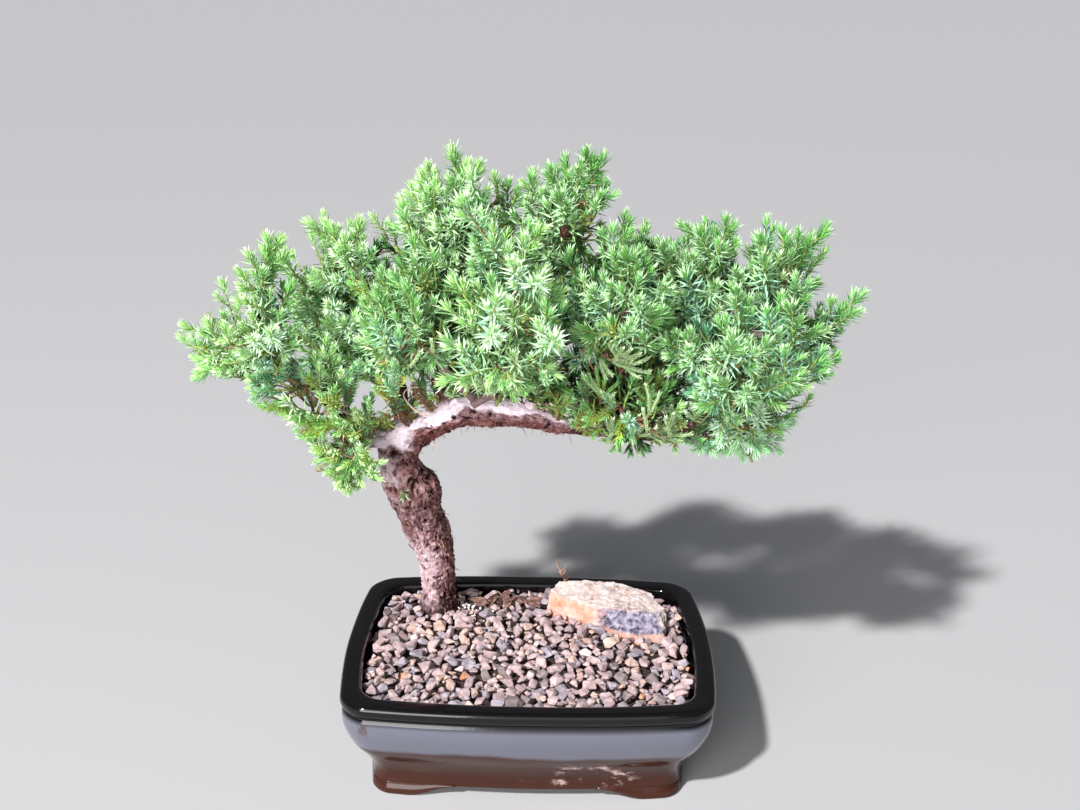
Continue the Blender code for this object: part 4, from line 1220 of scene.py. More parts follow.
        for pick, how in (((lay < 2) & ~known_, (10.5, 0.44, 0.4)),
                          (known_ & (style == 4), (7.5, 0.20, 0.5, (6.0, 10.5), (5.5, 10.0))),
                          (known_ & (style == 2), (8.5, 0.12, 0.7, (6.0, 11.0), (4.5, 8.0)))):
            outer = np.nonzero(pick & free)[0]
            if not len(outer):
                continue
            sub = Shoots(*(x[outer] for x in (p0, d0, p1, d1, a, size[ti], fam, style)))
            got = side_shoots(rng, sub, N[ti[outer]], *how)
            if got:
                side = got[0].only(got[0].clear())
                arrays.append(side.needles(rng))
                chunks.append(side.stems(rng, 3, (0.5, 0.42, 0.28), 3, np.zeros(len(side.p0), int)))
        V, F, ix = join_arrays([x for x in arrays if x is not None])
        used = np.unique(ix)
        remap = np.zeros(len(needle_mats), int)
        remap[used] = np.arange(len(used))
        ob = make_mesh("needles_" + name, to_world(V), F, [needle_mats[i] for i in used], remap[ix])
        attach(ob, "root")
        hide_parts("mass_" + name)
        total += len(F)
        if segs:
            cnt = np.array([s[4] for s in segs])
            a0, h0, a1, h1 = (np.array([s[i] for s in segs]) for i in range(4))
            ll = np.linalg.norm(a1 - a0, axis=1)
            for lo, hi, sides, st in ((2, 6, 4, 3), (6, 10 ** 6, 6, 5)):
                q = (cnt >= lo) & (cnt < hi) & ~(in_open(a1, 2.5) & (cnt < 12))
                if not q.any():
                    continue
                tt = np.repeat(np.linspace(0, 1, st)[None], q.sum(), 0)
                pos, tan = hermite(a0[q][:, None], (h0[q] * ll[q][:, None] * 0.8)[:, None],
                                   a1[q][:, None], (h1[q] * ll[q][:, None] * 0.8)[:, None], tt)
                rr = (0.72 * cnt[q] ** 0.32)[:, None] * np.linspace(1.08, 0.94, st)[None]
                tone = np.where(cnt[q] < 3, 1, np.where(cnt[q] < 9, 2, 3))
                chunks.append(tube_arrays(pos, tan, rr, sides, tone))
        lp = smooth_path([(*p, 2.6 - 0.6 * i / max(1, len(route) - 1))
                          for i, p in enumerate(route)], 5.0)
        tl, _, _ = frames_along(lp)
        chunks.append(tube_arrays(lp[None, :, :3], tl[None], lp[None, :, 3], 8, [3]))
    wood = 0
    for region, chunks in groups.items():
        V, F, ix = join_arrays(chunks)
        ob = make_mesh("twigs_" + region, to_world(V), F, twig_mats, ix, smooth=True)
        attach(ob, "root")
        wood += len(F)
    stamp("crown: %d shoots (leaders %d, outer %d), needle faces %d, twig faces %d"
          % (n, (layer == 0).sum(), (layer == 1).sum(), total, wood))
    return needle_mats, twig_mats


# small shoots on the main limb and trunk: tip, length, family
SPROUTS = (
    ((-75, 20, 149), 10, "fresh"), ((-76, 14, 210), 20, "olive"), ((-84, 12, 214), 26, "green"),
    ((-92, 10, 206), 24, "olive"), ((-60, 14, 214), 24, "olive"), ((-53, 22, 212), 15, "fresh"),
    ((-66, 18, 222), 26, "green"), ((-43.5, 32, 222), 24, "green"), ((-35.6, 34, 224), 24, "fresh"),
    ((-23, 32, 222), 22, "fresh"), ((-16, 30, 221), 20, "olive"), ((-8, 28, 220), 20, "green"),
    ((-48, 36, 216), 22, "olive"), ((-28, 36, 216), 22, "green"), ((-12, 32, 214), 20, "fresh"),
    ((2.7, 14, 216), 18, "fresh"), ((13.8, 4, 211), 18, "olive"), ((22.8, 2, 205), 18, "fresh"),
    ((24.3, 6, 216), 20, "green"), ((30, 2, 209), 18, "green"), ((38, 0, 203), 16, "sage"),
    ((49, 2, 211), 22, "sage"), ((-98, 14, 200), 20, "green"),
    ((-79, 18, 211), 20, "dead"), ((-74, 14, 218), 26, "dead"), ((-67, 16, 219), 22, "dead"),
    ((7, 10, 219), 20, "dead"), ((12, 10, 215), 16, "dead"),
    ((66, 0, 203), 16, "green"), ((76, -2, 201), 16, "olive"),
    ((92, 2, 206), 16, "green"), ((60, -2, 190), 12, "fresh"), ((80, 0, 190), 12, "fresh"),
    ((98, -2, 190), 14, "blue"))


def sprouts(needle_mats, twig_mats):
    rng = np.random.default_rng(8)
    limb = np.concatenate([smooth_path(STEM, 2.0), smooth_path(BOUGHS["bough_right_low"], 2.0)])
    p0, d0, p1, d1, a, fam = [], [], [], [], [], []
    for tip, ln, family in SPROUTS:
        tip = np.array(tip, float)
        k = int(np.argmin(((limb[:, :3] - tip) ** 2).sum(1)))
        q = limb[k]
        out = unit(tip - q[:3])
        foot = q[:3] + out * q[3] * 0.8
        p0.append(foot)
        p1.append(tip)
        d0.append(out)
        d1.append(unit(out * 0.6 + np.array([0, -0.1, 0.5 if tip[2] > q[2] else -0.1])
                       + rng.normal(0, 0.25, 3)))
        a.append(min(ln, np.linalg.norm(tip - foot) * 0.95))
        fam.append(FAM_TABLE[FAM_NAMES.index(family)])
    fam = np.array(fam)
    main = Shoots(np.array(p0), np.array(d0), np.array(p1), np.array(d1), np.array(a, float),
                  rng.uniform(0.62, 0.80, len(a)), fam,
                  np.where(fam[:, 0] == TINT_ID["sage"], 1, 2))
    free = main.clear()
    main, d0 = main.only(free), np.array(d0)[free]
    got = side_shoots(rng, main, np.array(d0), 6.0, 0.36, 1.0)
    arrays = [main.needles(rng)]
    chunks = [main.stems(rng, 4, (0.9, 0.75, 0.6, 0.4), 4, np.ones(len(main.L), int))]
    if got:
        side = got[0].only(got[0].clear())
        arrays.append(side.needles(rng))
        chunks.append(side.stems(rng, 3, (0.5, 0.42, 0.28), 3, np.ones(len(side.L), int)))
    V, F, ix = join_arrays(arrays)
    ob = make_mesh("needles_sprouts", to_world(V), F, needle_mats, ix)
    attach(ob, "root")
    V, F, ix = join_arrays(chunks)
    ob = make_mesh("twigs_sprouts", to_world(V), F, twig_mats, ix, smooth=True)
    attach(ob, "root")


# short shoots low in the crown and on old wood: family, style, size, where they fork, tips
TUFTS = (
    ("f", 2, 0.66, (-34, 6, 219), ((-45, -4, 222), (-39, -7, 227), (-29, -7, 226), (-35, -8, 221),
        (-24, -4, 221),)),
    ("l", 2, 0.66, (-94, 4, 204), ((-101, -7, 206), (-96, -8, 211),)),
    ("h", 2, 0.66, (-126, -3, 232), ((-131, -13, 243), (-123, -13, 240), (-134, -13, 236),
        (-120, -13, 233), (-128, -14, 229),)),
    ("g", 2, 0.64, (-116, -2, 220), ((-122, -10, 222), (-115, -11, 226), (-111, -10, 221),
        (-119, -11, 215),)),
    ("f", 2, 0.66, (-104, 0, 222), ((-110, -8, 233), (-103, -9, 236), (-98, -8, 231),)),
    ("o", 2, 0.60, (-122, -5, 204), ((-132, -13, 212), (-127, -13, 213), (-121, -13, 212),)),
    ("b", 2, 0.66, (-139, -14, 222), ((-150, -18, 235), (-148, -19, 227), (-144, -16, 239),)),
    ("h", 2, 0.62, (-130, -12, 232), ((-139, -15, 240), (-132, -17, 239), (-138, -10, 233),)),
    ("o", 2, 0.60, (-124, -10, 224), ((-137, -14, 220), (-131, -16, 219),)),
    ("y", 2, 0.62, (-107, -8, 213), ((-119, -14, 223), (-115, -12, 226), (-109, -10, 227),
        (-121, -11, 217),)),
    ("g", 2, 0.66, (-103, -4, 213), ((-97, -8, 231), (-92, -10, 240), (-90, -6, 227),)),
    ("dark", 2, 0.64, (-89, 2, 206), ((-88, -1, 220), (-92, 3, 215),)),
    ("b", 2, 0.74, (-75, 8, 205), ((-77, -8, 244),)),
    ("y", 2, 0.62, (-77, 4, 214), ((-86, -4, 225), (-84, -4, 233), (-70, -4, 235),)),
    ("o", 2, 0.60, (-78, 8, 204), ((-89, 0, 204), (-84, 2, 209),)),
    ("f", 2, 0.66, (-88, 4, 198), ((-96, -4, 206), (-94, -2, 208), (-100, -2, 198),)),
    ("o", 2, 0.62, (-96, 2, 195), ((-105, -6, 207), (-103, -6, 200), (-107, -3, 201),)),
    ("y", 2, 0.62, (-110, -8, 203), ((-128, -13, 203), (-126, -13, 199), (-120, -12, 199),)),
    ("g", 2, 0.66, (-111, -8, 189), ((-122, -12, 197), (-118, -13, 185), (-114, -12, 200),)),
        ("f", 2, 0.78, (-100, -2, 184), ((-82, -10, 184), (-84, -10, 174), (-94, -10, 170), (-113,
        -10, 177), (-107, -10, 170),)),
    ("w", 2, 0.72, (-101, 0, 190), ((-88, -8, 190), (-94, -9, 183), (-110, -8, 183),)),
        ("s", 1, 1.00, (48, -28, 247), ((60, -33, 247), (59, -33, 254), (56, -32, 258), (50, -31,
        260), (40, -32, 260), (43, -32, 261), (55, -33, 244),)),
        ("s", 1, 1.00, (57, -16, 204), ((49, -22, 217), (52, -21, 219), (61, -21, 214), (46, -21,
        208), (62, -21, 207), (57, -23, 218),)),
        ("s", 1, 1.00, (76, -10, 203), ((71, -17, 222), (75, -16, 221), (79, -16, 218), (83, -15,
        212), (86, -14, 205), (68, -15, 212), (77, -18, 215),)),
        ("o", 1, 1.00, (66, -18, 222), ((64, -23, 235), (71, -23, 237), (56, -23, 232), (57, -23,
        226), (70, -24, 231),)),
        ("o", 1, 1.00, (37, -16, 225), ((29, -21, 239), (34, -21, 243), (39, -21, 241), (45, -21,
        236), (43, -21, 230),)),
        ("y", 2, 0.55, (30, -8, 206), ((23, -13, 216), (27, -13, 219), (31, -14, 217), (33, -13,
        212), (22, -13, 209),)),
        ("y", 2, 0.55, (49, -10, 201), ((40, -15, 206), (39, -15, 201), (44, -15, 195), (48, -15,
        195),)),
        ("h", 2, 0.62, (96, -6, 200), ((89, -10, 194), (93, -10, 193), (100, -11, 192), (85, -10,
        198),)),
        ("s", 1, 1.00, (91, -14, 211), ((85, -19, 224), (91, -19, 227), (96, -19, 222), (83, -20,
        219),)),
        ("o", 2, 0.60, (15, -6, 218), ((9, -10, 229), (13, -11, 233), (18, -11, 232), (21, -11,
        227),)),
    ("g", 2, 0.64, (31, -10, 223), ((25, -16, 233), (27, -16, 238),)),
)
# families of the short foliage that clothes the boughs inside the crown; its dark kind is painted shade
CLOTHES = dict(olive=3, o=1.5, g=2.5, dark=3, h=1.2, y=0.6, dead=0.35)


def tufts(needle_mats, twig_mats):
    rng = np.random.default_rng(19)
    lines = [smooth_path(STEM, 2.0)] + [smooth_path(BOUGHS[b], 2.0) for b in sorted(BOUGHS)]
    wood = np.concatenate(lines)
    rows, chunks = [], []
    for fam, style, size, fork, tips in TUFTS:
        fork = np.array(fork, float)
        foot = wood[int(np.argmin(np.linalg.norm(wood[:, :3] - fork + np.array([0, 0, 3.0]),
                                                 axis=1) - wood[:, 3]))][:3]
        out = fork - foot
        mean = unit(np.mean([unit(np.array(t, float) - fork) for t in tips], axis=0))
        reach = np.linalg.norm(out) * 0.8
        pos, tan = hermite(foot[None, None], (unit(out * 0.6 + np.array([0, 0, 6.0])) * reach)[None, None],
                           fork[None, None], (mean * reach)[None, None], np.linspace(0, 1, 7)[None])
        chunks.append(tube_arrays(pos, tan, np.linspace(1.0, 0.6, 7)[None], 5, [2]))
        for tip in tips:
            tip = np.array(tip, float)
            d = unit(tip - fork)
            rows.append((fork, unit(d + mean * 0.7), tip, unit(d + np.array([0, 0, 0.35])),
                         np.linalg.norm(tip - fork) * 0.95, size * rng.uniform(0.92, 1.08),
                         FAM_TABLE[FAM_NAMES.index("sage" if fam == "s" else fam)], style))
    for name in sorted(BOUGHS):
        path = smooth_path(BOUGHS[name], 1.0)
        t, s1, s2 = frames_along(path)
        k, turn = 9, rng.uniform(0, 6.28)
        while k < len(path) - 1:
            turn += 2.4 + rng.normal(0, 0.3)
            rad = s1[k] * math.cos(turn) + s2[k] * math.sin(turn)
            if "right" in name and rad[2] < -0.1:
                rad[2] = -rad[2]
            d = unit(rad * 0.8 + t[k] * 0.5 + np.array([0, 0, 0.25]) + rng.normal(0, 0.12, 3))
            ln = rng.uniform(8.0, 15.0)
            foot = path[k, :3] + rad * path[k, 3] * 0.7
            tip = foot + d * ln
            if not in_open(tip[None], 2.0)[0]:
                rows.append((foot, unit(d + rad), tip, unit(d + t[k] * 0.4), ln * 0.92,
                             rng.uniform(0.56, 0.70), draw_family(rng, CLOTHES, 1)[0], 2))
            k += int(rng.integers(2, 5))
    s = Shoots(*(np.array([r[i] for r in rows]) for i in range(8)))
    s = s.only(s.clear())
    V, F, ix = s.needles(rng)
    ob = make_mesh("needles_tufts", to_world(V), F, needle_mats, ix)
    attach(ob, "root")
    chunks.append(s.stems(rng, 3, (0.6, 0.5, 0.32), 3, np.ones(len(s.L), int)))
    V, F, ix = join_arrays(chunks)
    ob = make_mesh("twigs_tufts", to_world(V), F, twig_mats, ix, smooth=True)
    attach(ob, "root")
    stamp("tufts: %d shoots" % len(rows))


# ================================================================== bark
def bark_material(name):
    m, nt, b = new_material(name)
    h = attr(nt, "relief")
    fine = object_noise(nt, 330.0, 7.0, 0.65)
    fibre = object_noise(nt, 520.0, 5.0, 0.65, (1.0, 1.0, 0.25))
    mottle = object_noise(nt, 110.0, 4.0, 0.6)
    mixed = math_node(nt, "ADD", math_node(nt, "MULTIPLY", math_node(nt, "SUBTRACT", fine, 0.5), 0.75),
                      math_node(nt, "MULTIPLY", math_node(nt, "SUBTRACT", fibre, 0.5), 0.45))
    hh = math_node(nt, "ADD", h, mixed)
    col = ramp(nt, hh, ((0.12, lin(30, 18, 20)), (0.30, lin(92, 62, 63)), (0.48, lin(160, 122, 125)),
                        (0.66, lin(202, 170, 173)), (0.92, lin(238, 216, 214))))
    rusty = ramp(nt, mottle, ((0.50, (0, 0, 0)), (0.64, (1, 1, 1))))
    col = mix_color(nt, math_node(nt, "MULTIPLY", rusty, 0.42), col,
                    ramp(nt, hh, ((0.1, lin(42, 22, 18)), (0.5, lin(160, 100, 82)), (0.9, lin(214, 164, 140)))))
    # where this mask is high the bark turns darker red-brown: the underside's own darker bark with painted shade over
    # it
    under = attr(nt, "under")
    col = mix_color(nt, under, col,
                    ramp(nt, hh, ((0.12, lin(34, 16, 16)), (0.42, lin(112, 66, 64)),
                                  (0.70, lin(160, 112, 108)), (0.95, lin(196, 156, 148)))))
    col = mix_color(nt, 1.0, col, (0.60, 0.575, 0.585), "MULTIPLY")
    skin = ramp(nt, math_node(nt, "ADD", math_node(nt, "MULTIPLY", fibre, 0.55),
                              math_node(nt, "MULTIPLY", h, 0.5)),
                ((0.24, lin(150, 122, 128)), (0.38, lin(222, 200, 212)), (0.62, lin(253, 238, 250))))
    col = mix_color(nt, math_node(nt, "MULTIPLY", attr(nt, "bare"), 0.95, True), col, skin)
    nt.links.new(col, b.inputs["Base Color"])
    b.inputs["Roughness"].default_value = 0.88
    b.inputs["Specular IOR Level"].default_value = 0.2
    bump(nt, b, math_node(nt, "ADD", fine, fibre), 0.7, 0.0007)
    return m


def surface_of(path, around):
    """Points, outward normals, coordinates round and along, and tangents of a limb."""
    t, s1, s2 = frames_along(path)
    k = len(path)
    ang = np.arange(around) * 2 * math.pi / around
    ca, sa = np.cos(ang), np.sin(ang)
    rad = s1[:, None, :] * ca[None, :, None] + s2[:, None, :] * sa[None, :, None]
    base = path[:, None, :3] + rad * path[:, None, 3:4]
    s = np.concatenate([[0], np.cumsum(np.linalg.norm(np.diff(path[:, :3], axis=0), axis=1))])
    r = float(path[:, 3].mean())
    u = np.stack([np.repeat(ca[None], k, 0) * r, np.repeat(sa[None], k, 0) * r,
                  np.repeat(s[:, None], around, 1)], 2)
    tt = np.repeat(t[:, None], around, 1)
    return base.reshape(-1, 3), rad.reshape(-1, 3), u.reshape(-1, 3), tt.reshape(-1, 3)


def bark_tube(name, path, around, relief, mats, nodes=(), swell=None):
    """A limb as one closed mesh with its bark modelled, from dense stations x, y, z, r.

    relief(q, u, n) gives height, tone, bare skin and the mix of darker bark and painted shade at each point."""
    q, n, u, t = surface_of(path, around)
    k = len(path)
    h, tone, bare, under = relief(q, u, n)
    pos = q + n * h[:, None]
    if swell is not None:
        c, rise, spread = swell
        w = np.exp(-(np.linalg.norm(q - np.array(c), axis=1) / spread) ** 2)
        pos = pos + n * (rise * w)[:, None]
    V = np.concatenate([pos, path[:1, :3], path[-1:, :3] + t[-1:] * path[-1, 3] * 0.5])
    i = np.arange(k - 1)[:, None] * around
    j = np.arange(around)[None]
    a, b = i + j, i + (j + 1) % around
    quads = np.stack([a, b, b + around, a + around], 2).reshape(-1, 4)
    jj = np.arange(around)
    end = k * around
    F = np.concatenate([quads[:, [0, 1, 2]], quads[:, [0, 2, 3]],
                        np.stack([np.full(around, end), (jj + 1) % around, jj], 1),
                        np.stack([np.full(around, end + 1), (k - 1) * around + jj,
                                  (k - 1) * around + (jj + 1) % around], 1)])
    ob = make_mesh(name, to_world(V), F, mats, smooth=True)
    add_attr(ob, "relief", np.concatenate([tone, [0.3, 0.3]]))
    add_attr(ob, "bare", np.concatenate([bare, [0, 0]]))
    add_attr(ob, "under", np.concatenate([under, [0.5, 0.5]]))
    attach(ob, "root")
    if nodes:
        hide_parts(*nodes)
    return pos, n, t, tone, bare, under


def shaggy(q, u, n, seed=3):
    """Flaking bark: torn scales of uneven size over lumps, with holes and fine fibres."""
    warp = np.stack([fbm(q / 5.0, 4, seed + 20), fbm(q / 5.0 + 31, 4, seed + 30),
                     fbm(q / 5.0 + 77, 4, seed + 40)], 1)
    w = u / np.array([3.4, 3.4, 6.0]) + warp * 1.35
    f1, f2, idn, vec = cells(w, seed)
    edge = sstep(0.0, 0.22, f2 - f1)
    plate = (idn - 0.40) * 1.5 + vec[:, 2] * (idn * 2 - 0.7) * 1.2
    g1, g2, idm, vec2 = cells(u / np.array([1.5, 1.5, 2.6]) + warp * 2.4, seed + 9)
    small = (idm - 0.5) * 1.1 + vec2[:, 2] * 0.7
    lump = fbm(q / 10.0, 3, seed + 60)
    fib = fbm(u / np.array([0.6, 0.6, 3.2]) + warp * 1.5, 3, seed + 70)
    rough = fbm(q / 2.2, 4, seed + 90, 0.6)
    pits = sstep(0.18, 0.52, fbm(q / np.array([3.0, 3.0, 4.2]) + warp * 0.5, 3, seed + 80))
    h = (plate * edge * 0.75 + small * 0.55 - (1 - edge) * 0.7 - pits * 1.9 + rough * 0.9 + fib * 0.5)
    # tone is darker in the cracks between scales and in the holes, painted shade in the hollows; the rest of it varies
    # at random
    tone = np.clip(0.56 + plate * 0.16 * edge + small * 0.10 - (1 - edge) * 0.18 - pits * 0.50
                   + rough * 0.16 + fib * 0.10 + lump * 0.12, 0, 1)
    return h * 0.8 + lump * 1.7, tone


def stem_and_limbs():
    bark = bark_material("bark_shaggy")
    path = smooth_path(STEM, 0.7)
    path = path[path[:, 2] > 56.5]

    def relief(q, u, n):
        h, tone = shaggy(q, u, n)
        arch = sstep(-90, -76, q[:, 0]) * sstep(170, 180, q[:, 2])
        edge = n[:, 2] * 0.9 - n[:, 1] * 0.15 + 0.42 * fbm(q / np.array([9.0, 9.0, 5.0]), 4, 51)
        skin = arch * sstep(0.0, 0.18, edge - 0.20 - 0.24 * sstep(-58, -40, q[:, 0])) * sstep(26, 12, q[:, 0])
        cap = (sstep(176, 181, q[:, 2]) * sstep(-66, -74, q[:, 0])
               * sstep(0.0, 0.35, -n[:, 1] * 0.8 + n[:, 2] * 0.7 - n[:, 0] * 0.3
                       + 0.3 * fbm(q / 6.0, 3, 57)))
        # the arch stands highest where it is bare
        h = h + 2.6 * sstep(-74, -58, q[:, 0]) * sstep(24, 2, q[:, 0]) * sstep(0.2, 0.9, n[:, 2]) * arch
        low = (sstep(128, 96, q[:, 2]) * sstep(60, 70, q[:, 2])
               * sstep(0.25, 0.7, -n[:, 0] * 0.75 - n[:, 1] * 0.55 + 0.5 * fbm(q / 7.0, 3, 59)))
        neck = sstep(150, 158, q[:, 2]) * sstep(176, 170, q[:, 2]) * sstep(0.2, 0.7, -n[:, 0] * 0.9 - n[:, 1] * 0.5)
        bare = np.clip(np.maximum(np.maximum(skin, cap), np.maximum(neck * 0.35, low * 0.16)), 0, 1)
        soft = fbm(q / 6.0, 3, 91) * 0.8 + fbm(u / np.array([0.9, 0.9, 5.0]), 3, 95) * 0.35
        h = h * (1 - bare * 0.9) + soft * bare
        # torn edge where the flaking bark starts under the bare ridge
        h = h * (1 - sstep(-40, 20, q[:, 0]) * 0.45)
        foot = np.exp(-np.maximum(q[:, 2] - 60.0, 0) / 5.0)
        lobes = 0.6 + 0.9 * vnoise(np.stack([n[:, 0] * 1.6, n[:, 1] * 1.6, 0 * n[:, 0]], 1), 7)
        h = h + foot * lobes * 1.5
        # mask of darker bark and painted shade: the arch's underside, where the bark is darker red-brown and shade
        # falls, the right side as painted shade away from the light, the foot as painted shade where it meets the soil
        under = np.clip(arch * sstep(0.25, -0.15, edge) + 0.55 * sstep(0.1, 0.8, n[:, 0])
                        + 0.5 * foot, 0, 1)
        # darker towards the foot, darker brown bark with painted shade there; a little paler where the low bare
        # patches are
        tone = tone + 0.10 * sstep(130, 90, q[:, 2]) * low - 0.34 * sstep(86, 64, q[:, 2])
        # the round knot under the elbow; its hole is darkened, painted shade in the hole
        k = np.linalg.norm((q - np.array([-79.5, 20.5, 178.0])) * np.array([1, 0.6, 1]), axis=1)
        ring = np.exp(-((k - 3.6) / 1.0) ** 2)
        hole = sstep(3.4, 1.8, k)
        h = h + ring * 0.9 - hole * 1.8
        tone = np.clip(tone - hole * 0.5, 0, 1)
        bare = bare * (1 - sstep(5.5, 3.5, k))
        return h, tone, bare, under

    got = bark_tube("bark_stem", path, 124, relief, [bark], ("trunk", "limb_right"),
                    swell=((-60.0, 36.0, 149.5), 3.6, 8.0))

    def limb_relief(q, u, n):
        h, tone = shaggy(q, u, n, 13)
        skin = 0.5 * sstep(-0.1, 0.6, n[:, 2] + 0.5 * fbm(q / 6.0, 2, 57))
        stub = sstep(15.0, 8.0, np.linalg.norm(q - np.array([-84.0, 24.0, 183.0]), axis=1))
        stub = np.maximum(stub, 0.8 * sstep(13.0, 6.0, u[:, 2]) * (q[:, 0] < 6))
        # boughs: all but the stubs take the darker bark with painted shade
        return (h * 0.32, tone * 0.72 + 0.2 * stub, np.maximum(skin * 0.25, stub),
                0.9 * (1 - stub))

    for name, st in BOUGHS.items():
        line = smooth_path(st, 0.9)
        line[:, 3] *= 0.80 if "left" in name and "apex" not in name else 0.92
        bark_tube("bark_" + name, line, 34, limb_relief, [bark], (name,))
    stamp("stem and boughs")
    return got, bark


def shards(rng, base, along, normal, length, width, thick, lift):
    """Small torn flakes of bark: flat, tapering, one end lifted off the limb."""
    n = len(base)
    side = np.cross(normal, along)
    a = unit(along + normal * lift[:, None])
    up = np.cross(side, a)
    L, W, T = length[:, None], width[:, None], thick[:, None]
    bend = rng.normal(0.18, 0.12, n)[:, None]
    rows = []
    for f, w in ((0.0, 0.55), (0.45, 1.0), (0.8, 0.8), (1.0, 0.25)):
        c = base + a * L * f + up * L * bend * (f ** 2) * 0.5
        jl = rng.uniform(0.75, 1.2, n)[:, None]
        jr = rng.uniform(0.75, 1.2, n)[:, None]
        rows += [c - side * W * 0.5 * w * jl, c + side * W * 0.5 * w * jr,
                 c + side * W * 0.3 * w - up * T, c - side * W * 0.3 * w - up * T]
    V = np.stack(rows, 1).reshape(-1, 3)
    F = []
    for r in range(3):
        for j in range(4):
            p, q = r * 4 + j, r * 4 + (j + 1) % 4
            F += [(p, q, q + 4), (p, q + 4, p + 4)]
    F += [(0, 2, 1), (0, 3, 2), (12, 13, 14), (12, 14, 15)]
    F = np.array(F)
    return V, (F[None] + np.arange(n)[:, None, None] * 16).reshape(-1, 3)


def flakes_and_hairs(got, bark):
    rng = np.random.default_rng(77)
    pos, nor, tan, tone, bare, under = got
    free = np.nonzero((bare < 0.4) & (pos[:, 2] > 63))[0]
    w = 0.25 + 1.2 * under[free] + 1.0 * (nor[free][:, 0] > 0.3) + 0.6 * (pos[free][:, 2] < 170)
    k = rng.choice(free, 460, p=w / w.sum())
    al = unit(tan[k] + rng.normal(0, 0.45, (len(k), 3)))
    al = unit(al - nor[k] * (al * nor[k]).sum(1)[:, None])
    al[rng.random(len(k)) < 0.5] *= -1
    n = len(k)
    thin = np.where(pos[k][:, 0] > -50, 0.7, 1.0)
    V, F = shards(rng, pos[k] - nor[k] * 0.5, al, nor[k], rng.uniform(2.2, 6.0, n) * thin,
                  rng.uniform(0.9, 2.6, n) * thin, rng.uniform(0.25, 0.5, n),
                  rng.uniform(0.04, 0.42, n))
    ob = make_mesh("bark_flakes", to_world(V), F, [bark])
    add_attr(ob, "relief", np.repeat(np.clip(rng.normal(0.5, 0.2, n), 0.05, 1), 16))
    add_attr(ob, "bare", np.zeros(len(V)))
    # flakes take a little more of the darker bark and painted shade than the bark under them
    add_attr(ob, "under", np.repeat(np.clip(under[k] + rng.normal(0.2, 0.3, n), 0, 1), 16))
    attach(ob, "root")

    m, nt, b = new_material("bark_fibre")
    nt.links.new(ramp(nt, object_noise(nt, 240.0, 3.0), ((0.35, lin(74, 42, 36)), (0.5, lin(140, 92, 74)),
                                                     (0.68, lin(196, 158, 132)))), b.inputs["Base Color"])
    b.inputs["Roughness"].default_value = 0.85
    wild = np.nonzero((bare < 0.3) & (pos[:, 2] > 66) & ((under > 0.4) | (nor[:, 0] > 0.4)))[0]
    k = rng.choice(wild, 240)
    n = len(k)
    out = unit(nor[k] * 0.55 + tan[k] * rng.normal(0, 0.8, n)[:, None] + rng.normal(0, 0.35, (n, 3)))
    ln = rng.uniform(2.0, 6.5, n)[:, None]
    droop = np.array([0, 0, -1.0])
    p0 = pos[k] - nor[k] * 0.3
    p1 = p0 + out * ln * 0.5
    p2 = p0 + out * ln * 0.85 + droop * ln * rng.uniform(0.0, 0.4, n)[:, None] + rng.normal(0, 0.4, (n, 3))
    R = np.stack([p0, p1, p2], 1)
    T = np.stack([p1 - p0, p2 - p0, p2 - p1], 1)
    V, F, ix = tube_arrays(R, T, rng.uniform(0.13, 0.26, n)[:, None] * np.array([1, 0.9, 0.4])[None], 3,
                           np.zeros(n, int))
    ob = make_mesh("bark_hairs", to_world(V), F, [m])
    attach(ob, "root")
    return m


# ================================================================== pot
POT_W, POT_D, POT_BOW, POT_R, BASE_Z, FLOOR_Z = 203.0, 144.7, 5.9, 14.0, 8.4, 15.0
FOOT_OUT, FOOT_IN, FOOT_LONG, FOOT_SIDE, FOOT_FLAT = 14.6, 26.0, 46.0, 38.0, 0.42
POT_PROFILE = (
    (15.4, BASE_Z), (15.8, 11.0), (15.0, 17.0), (11.6, 25.0), (5.2, 36.0), (1.4, 47.0),
    (0.8, 55.5), (1.9, 58.8), (0.3, 61.5), (0.2, 65.0), (1.6, 66.9), (5.0, 67.2),
    (9.6, 66.7), (11.2, 64.5), (11.6, 59.0), (12.6, 38.0), (22.5, FLOOR_Z))


def bow(x, y, hw, hd):
    u, v = x / hw, y / hd
    return (x + math.copysign(POT_BOW, x) * (1 - v * v) * u ** 4,
            y + math.copysign(POT_BOW, y) * (1 - u * u) * v ** 4)


def plan(off, arc=20, long_n=56, short_n=36):
    hw, hd = POT_W / 2 - off, POT_D / 2 - off
    r = max(POT_R - 0.35 * off, 6.0)
    pts = []
    for k, (sx, sy) in enumerate(((1, 1), (-1, 1), (-1, -1), (1, -1))):
        cx, cy = sx * (hw - r), sy * (hd - r)
        for i in range(arc):
            a = math.radians(90 * (k + i / (arc - 1)))
            pts.append((cx + r * math.cos(a), cy + r * math.sin(a)))
        n = long_n if k % 2 == 0 else short_n
        if k % 2 == 0:
            start, end = (sx * (hw - r), sy * hd), (-sx * (hw - r), sy * hd)
        else:
            start, end = (sx * hw, sy * (hd - r)), (sx * hw, -sy * (hd - r))
        for i in range(1, n):
            t = i / n
            pts.append((start[0] + (end[0] - start[0]) * t, start[1] + (end[1] - start[1]) * t))
    return np.array([bow(x, y, hw, hd) for x, y in pts])


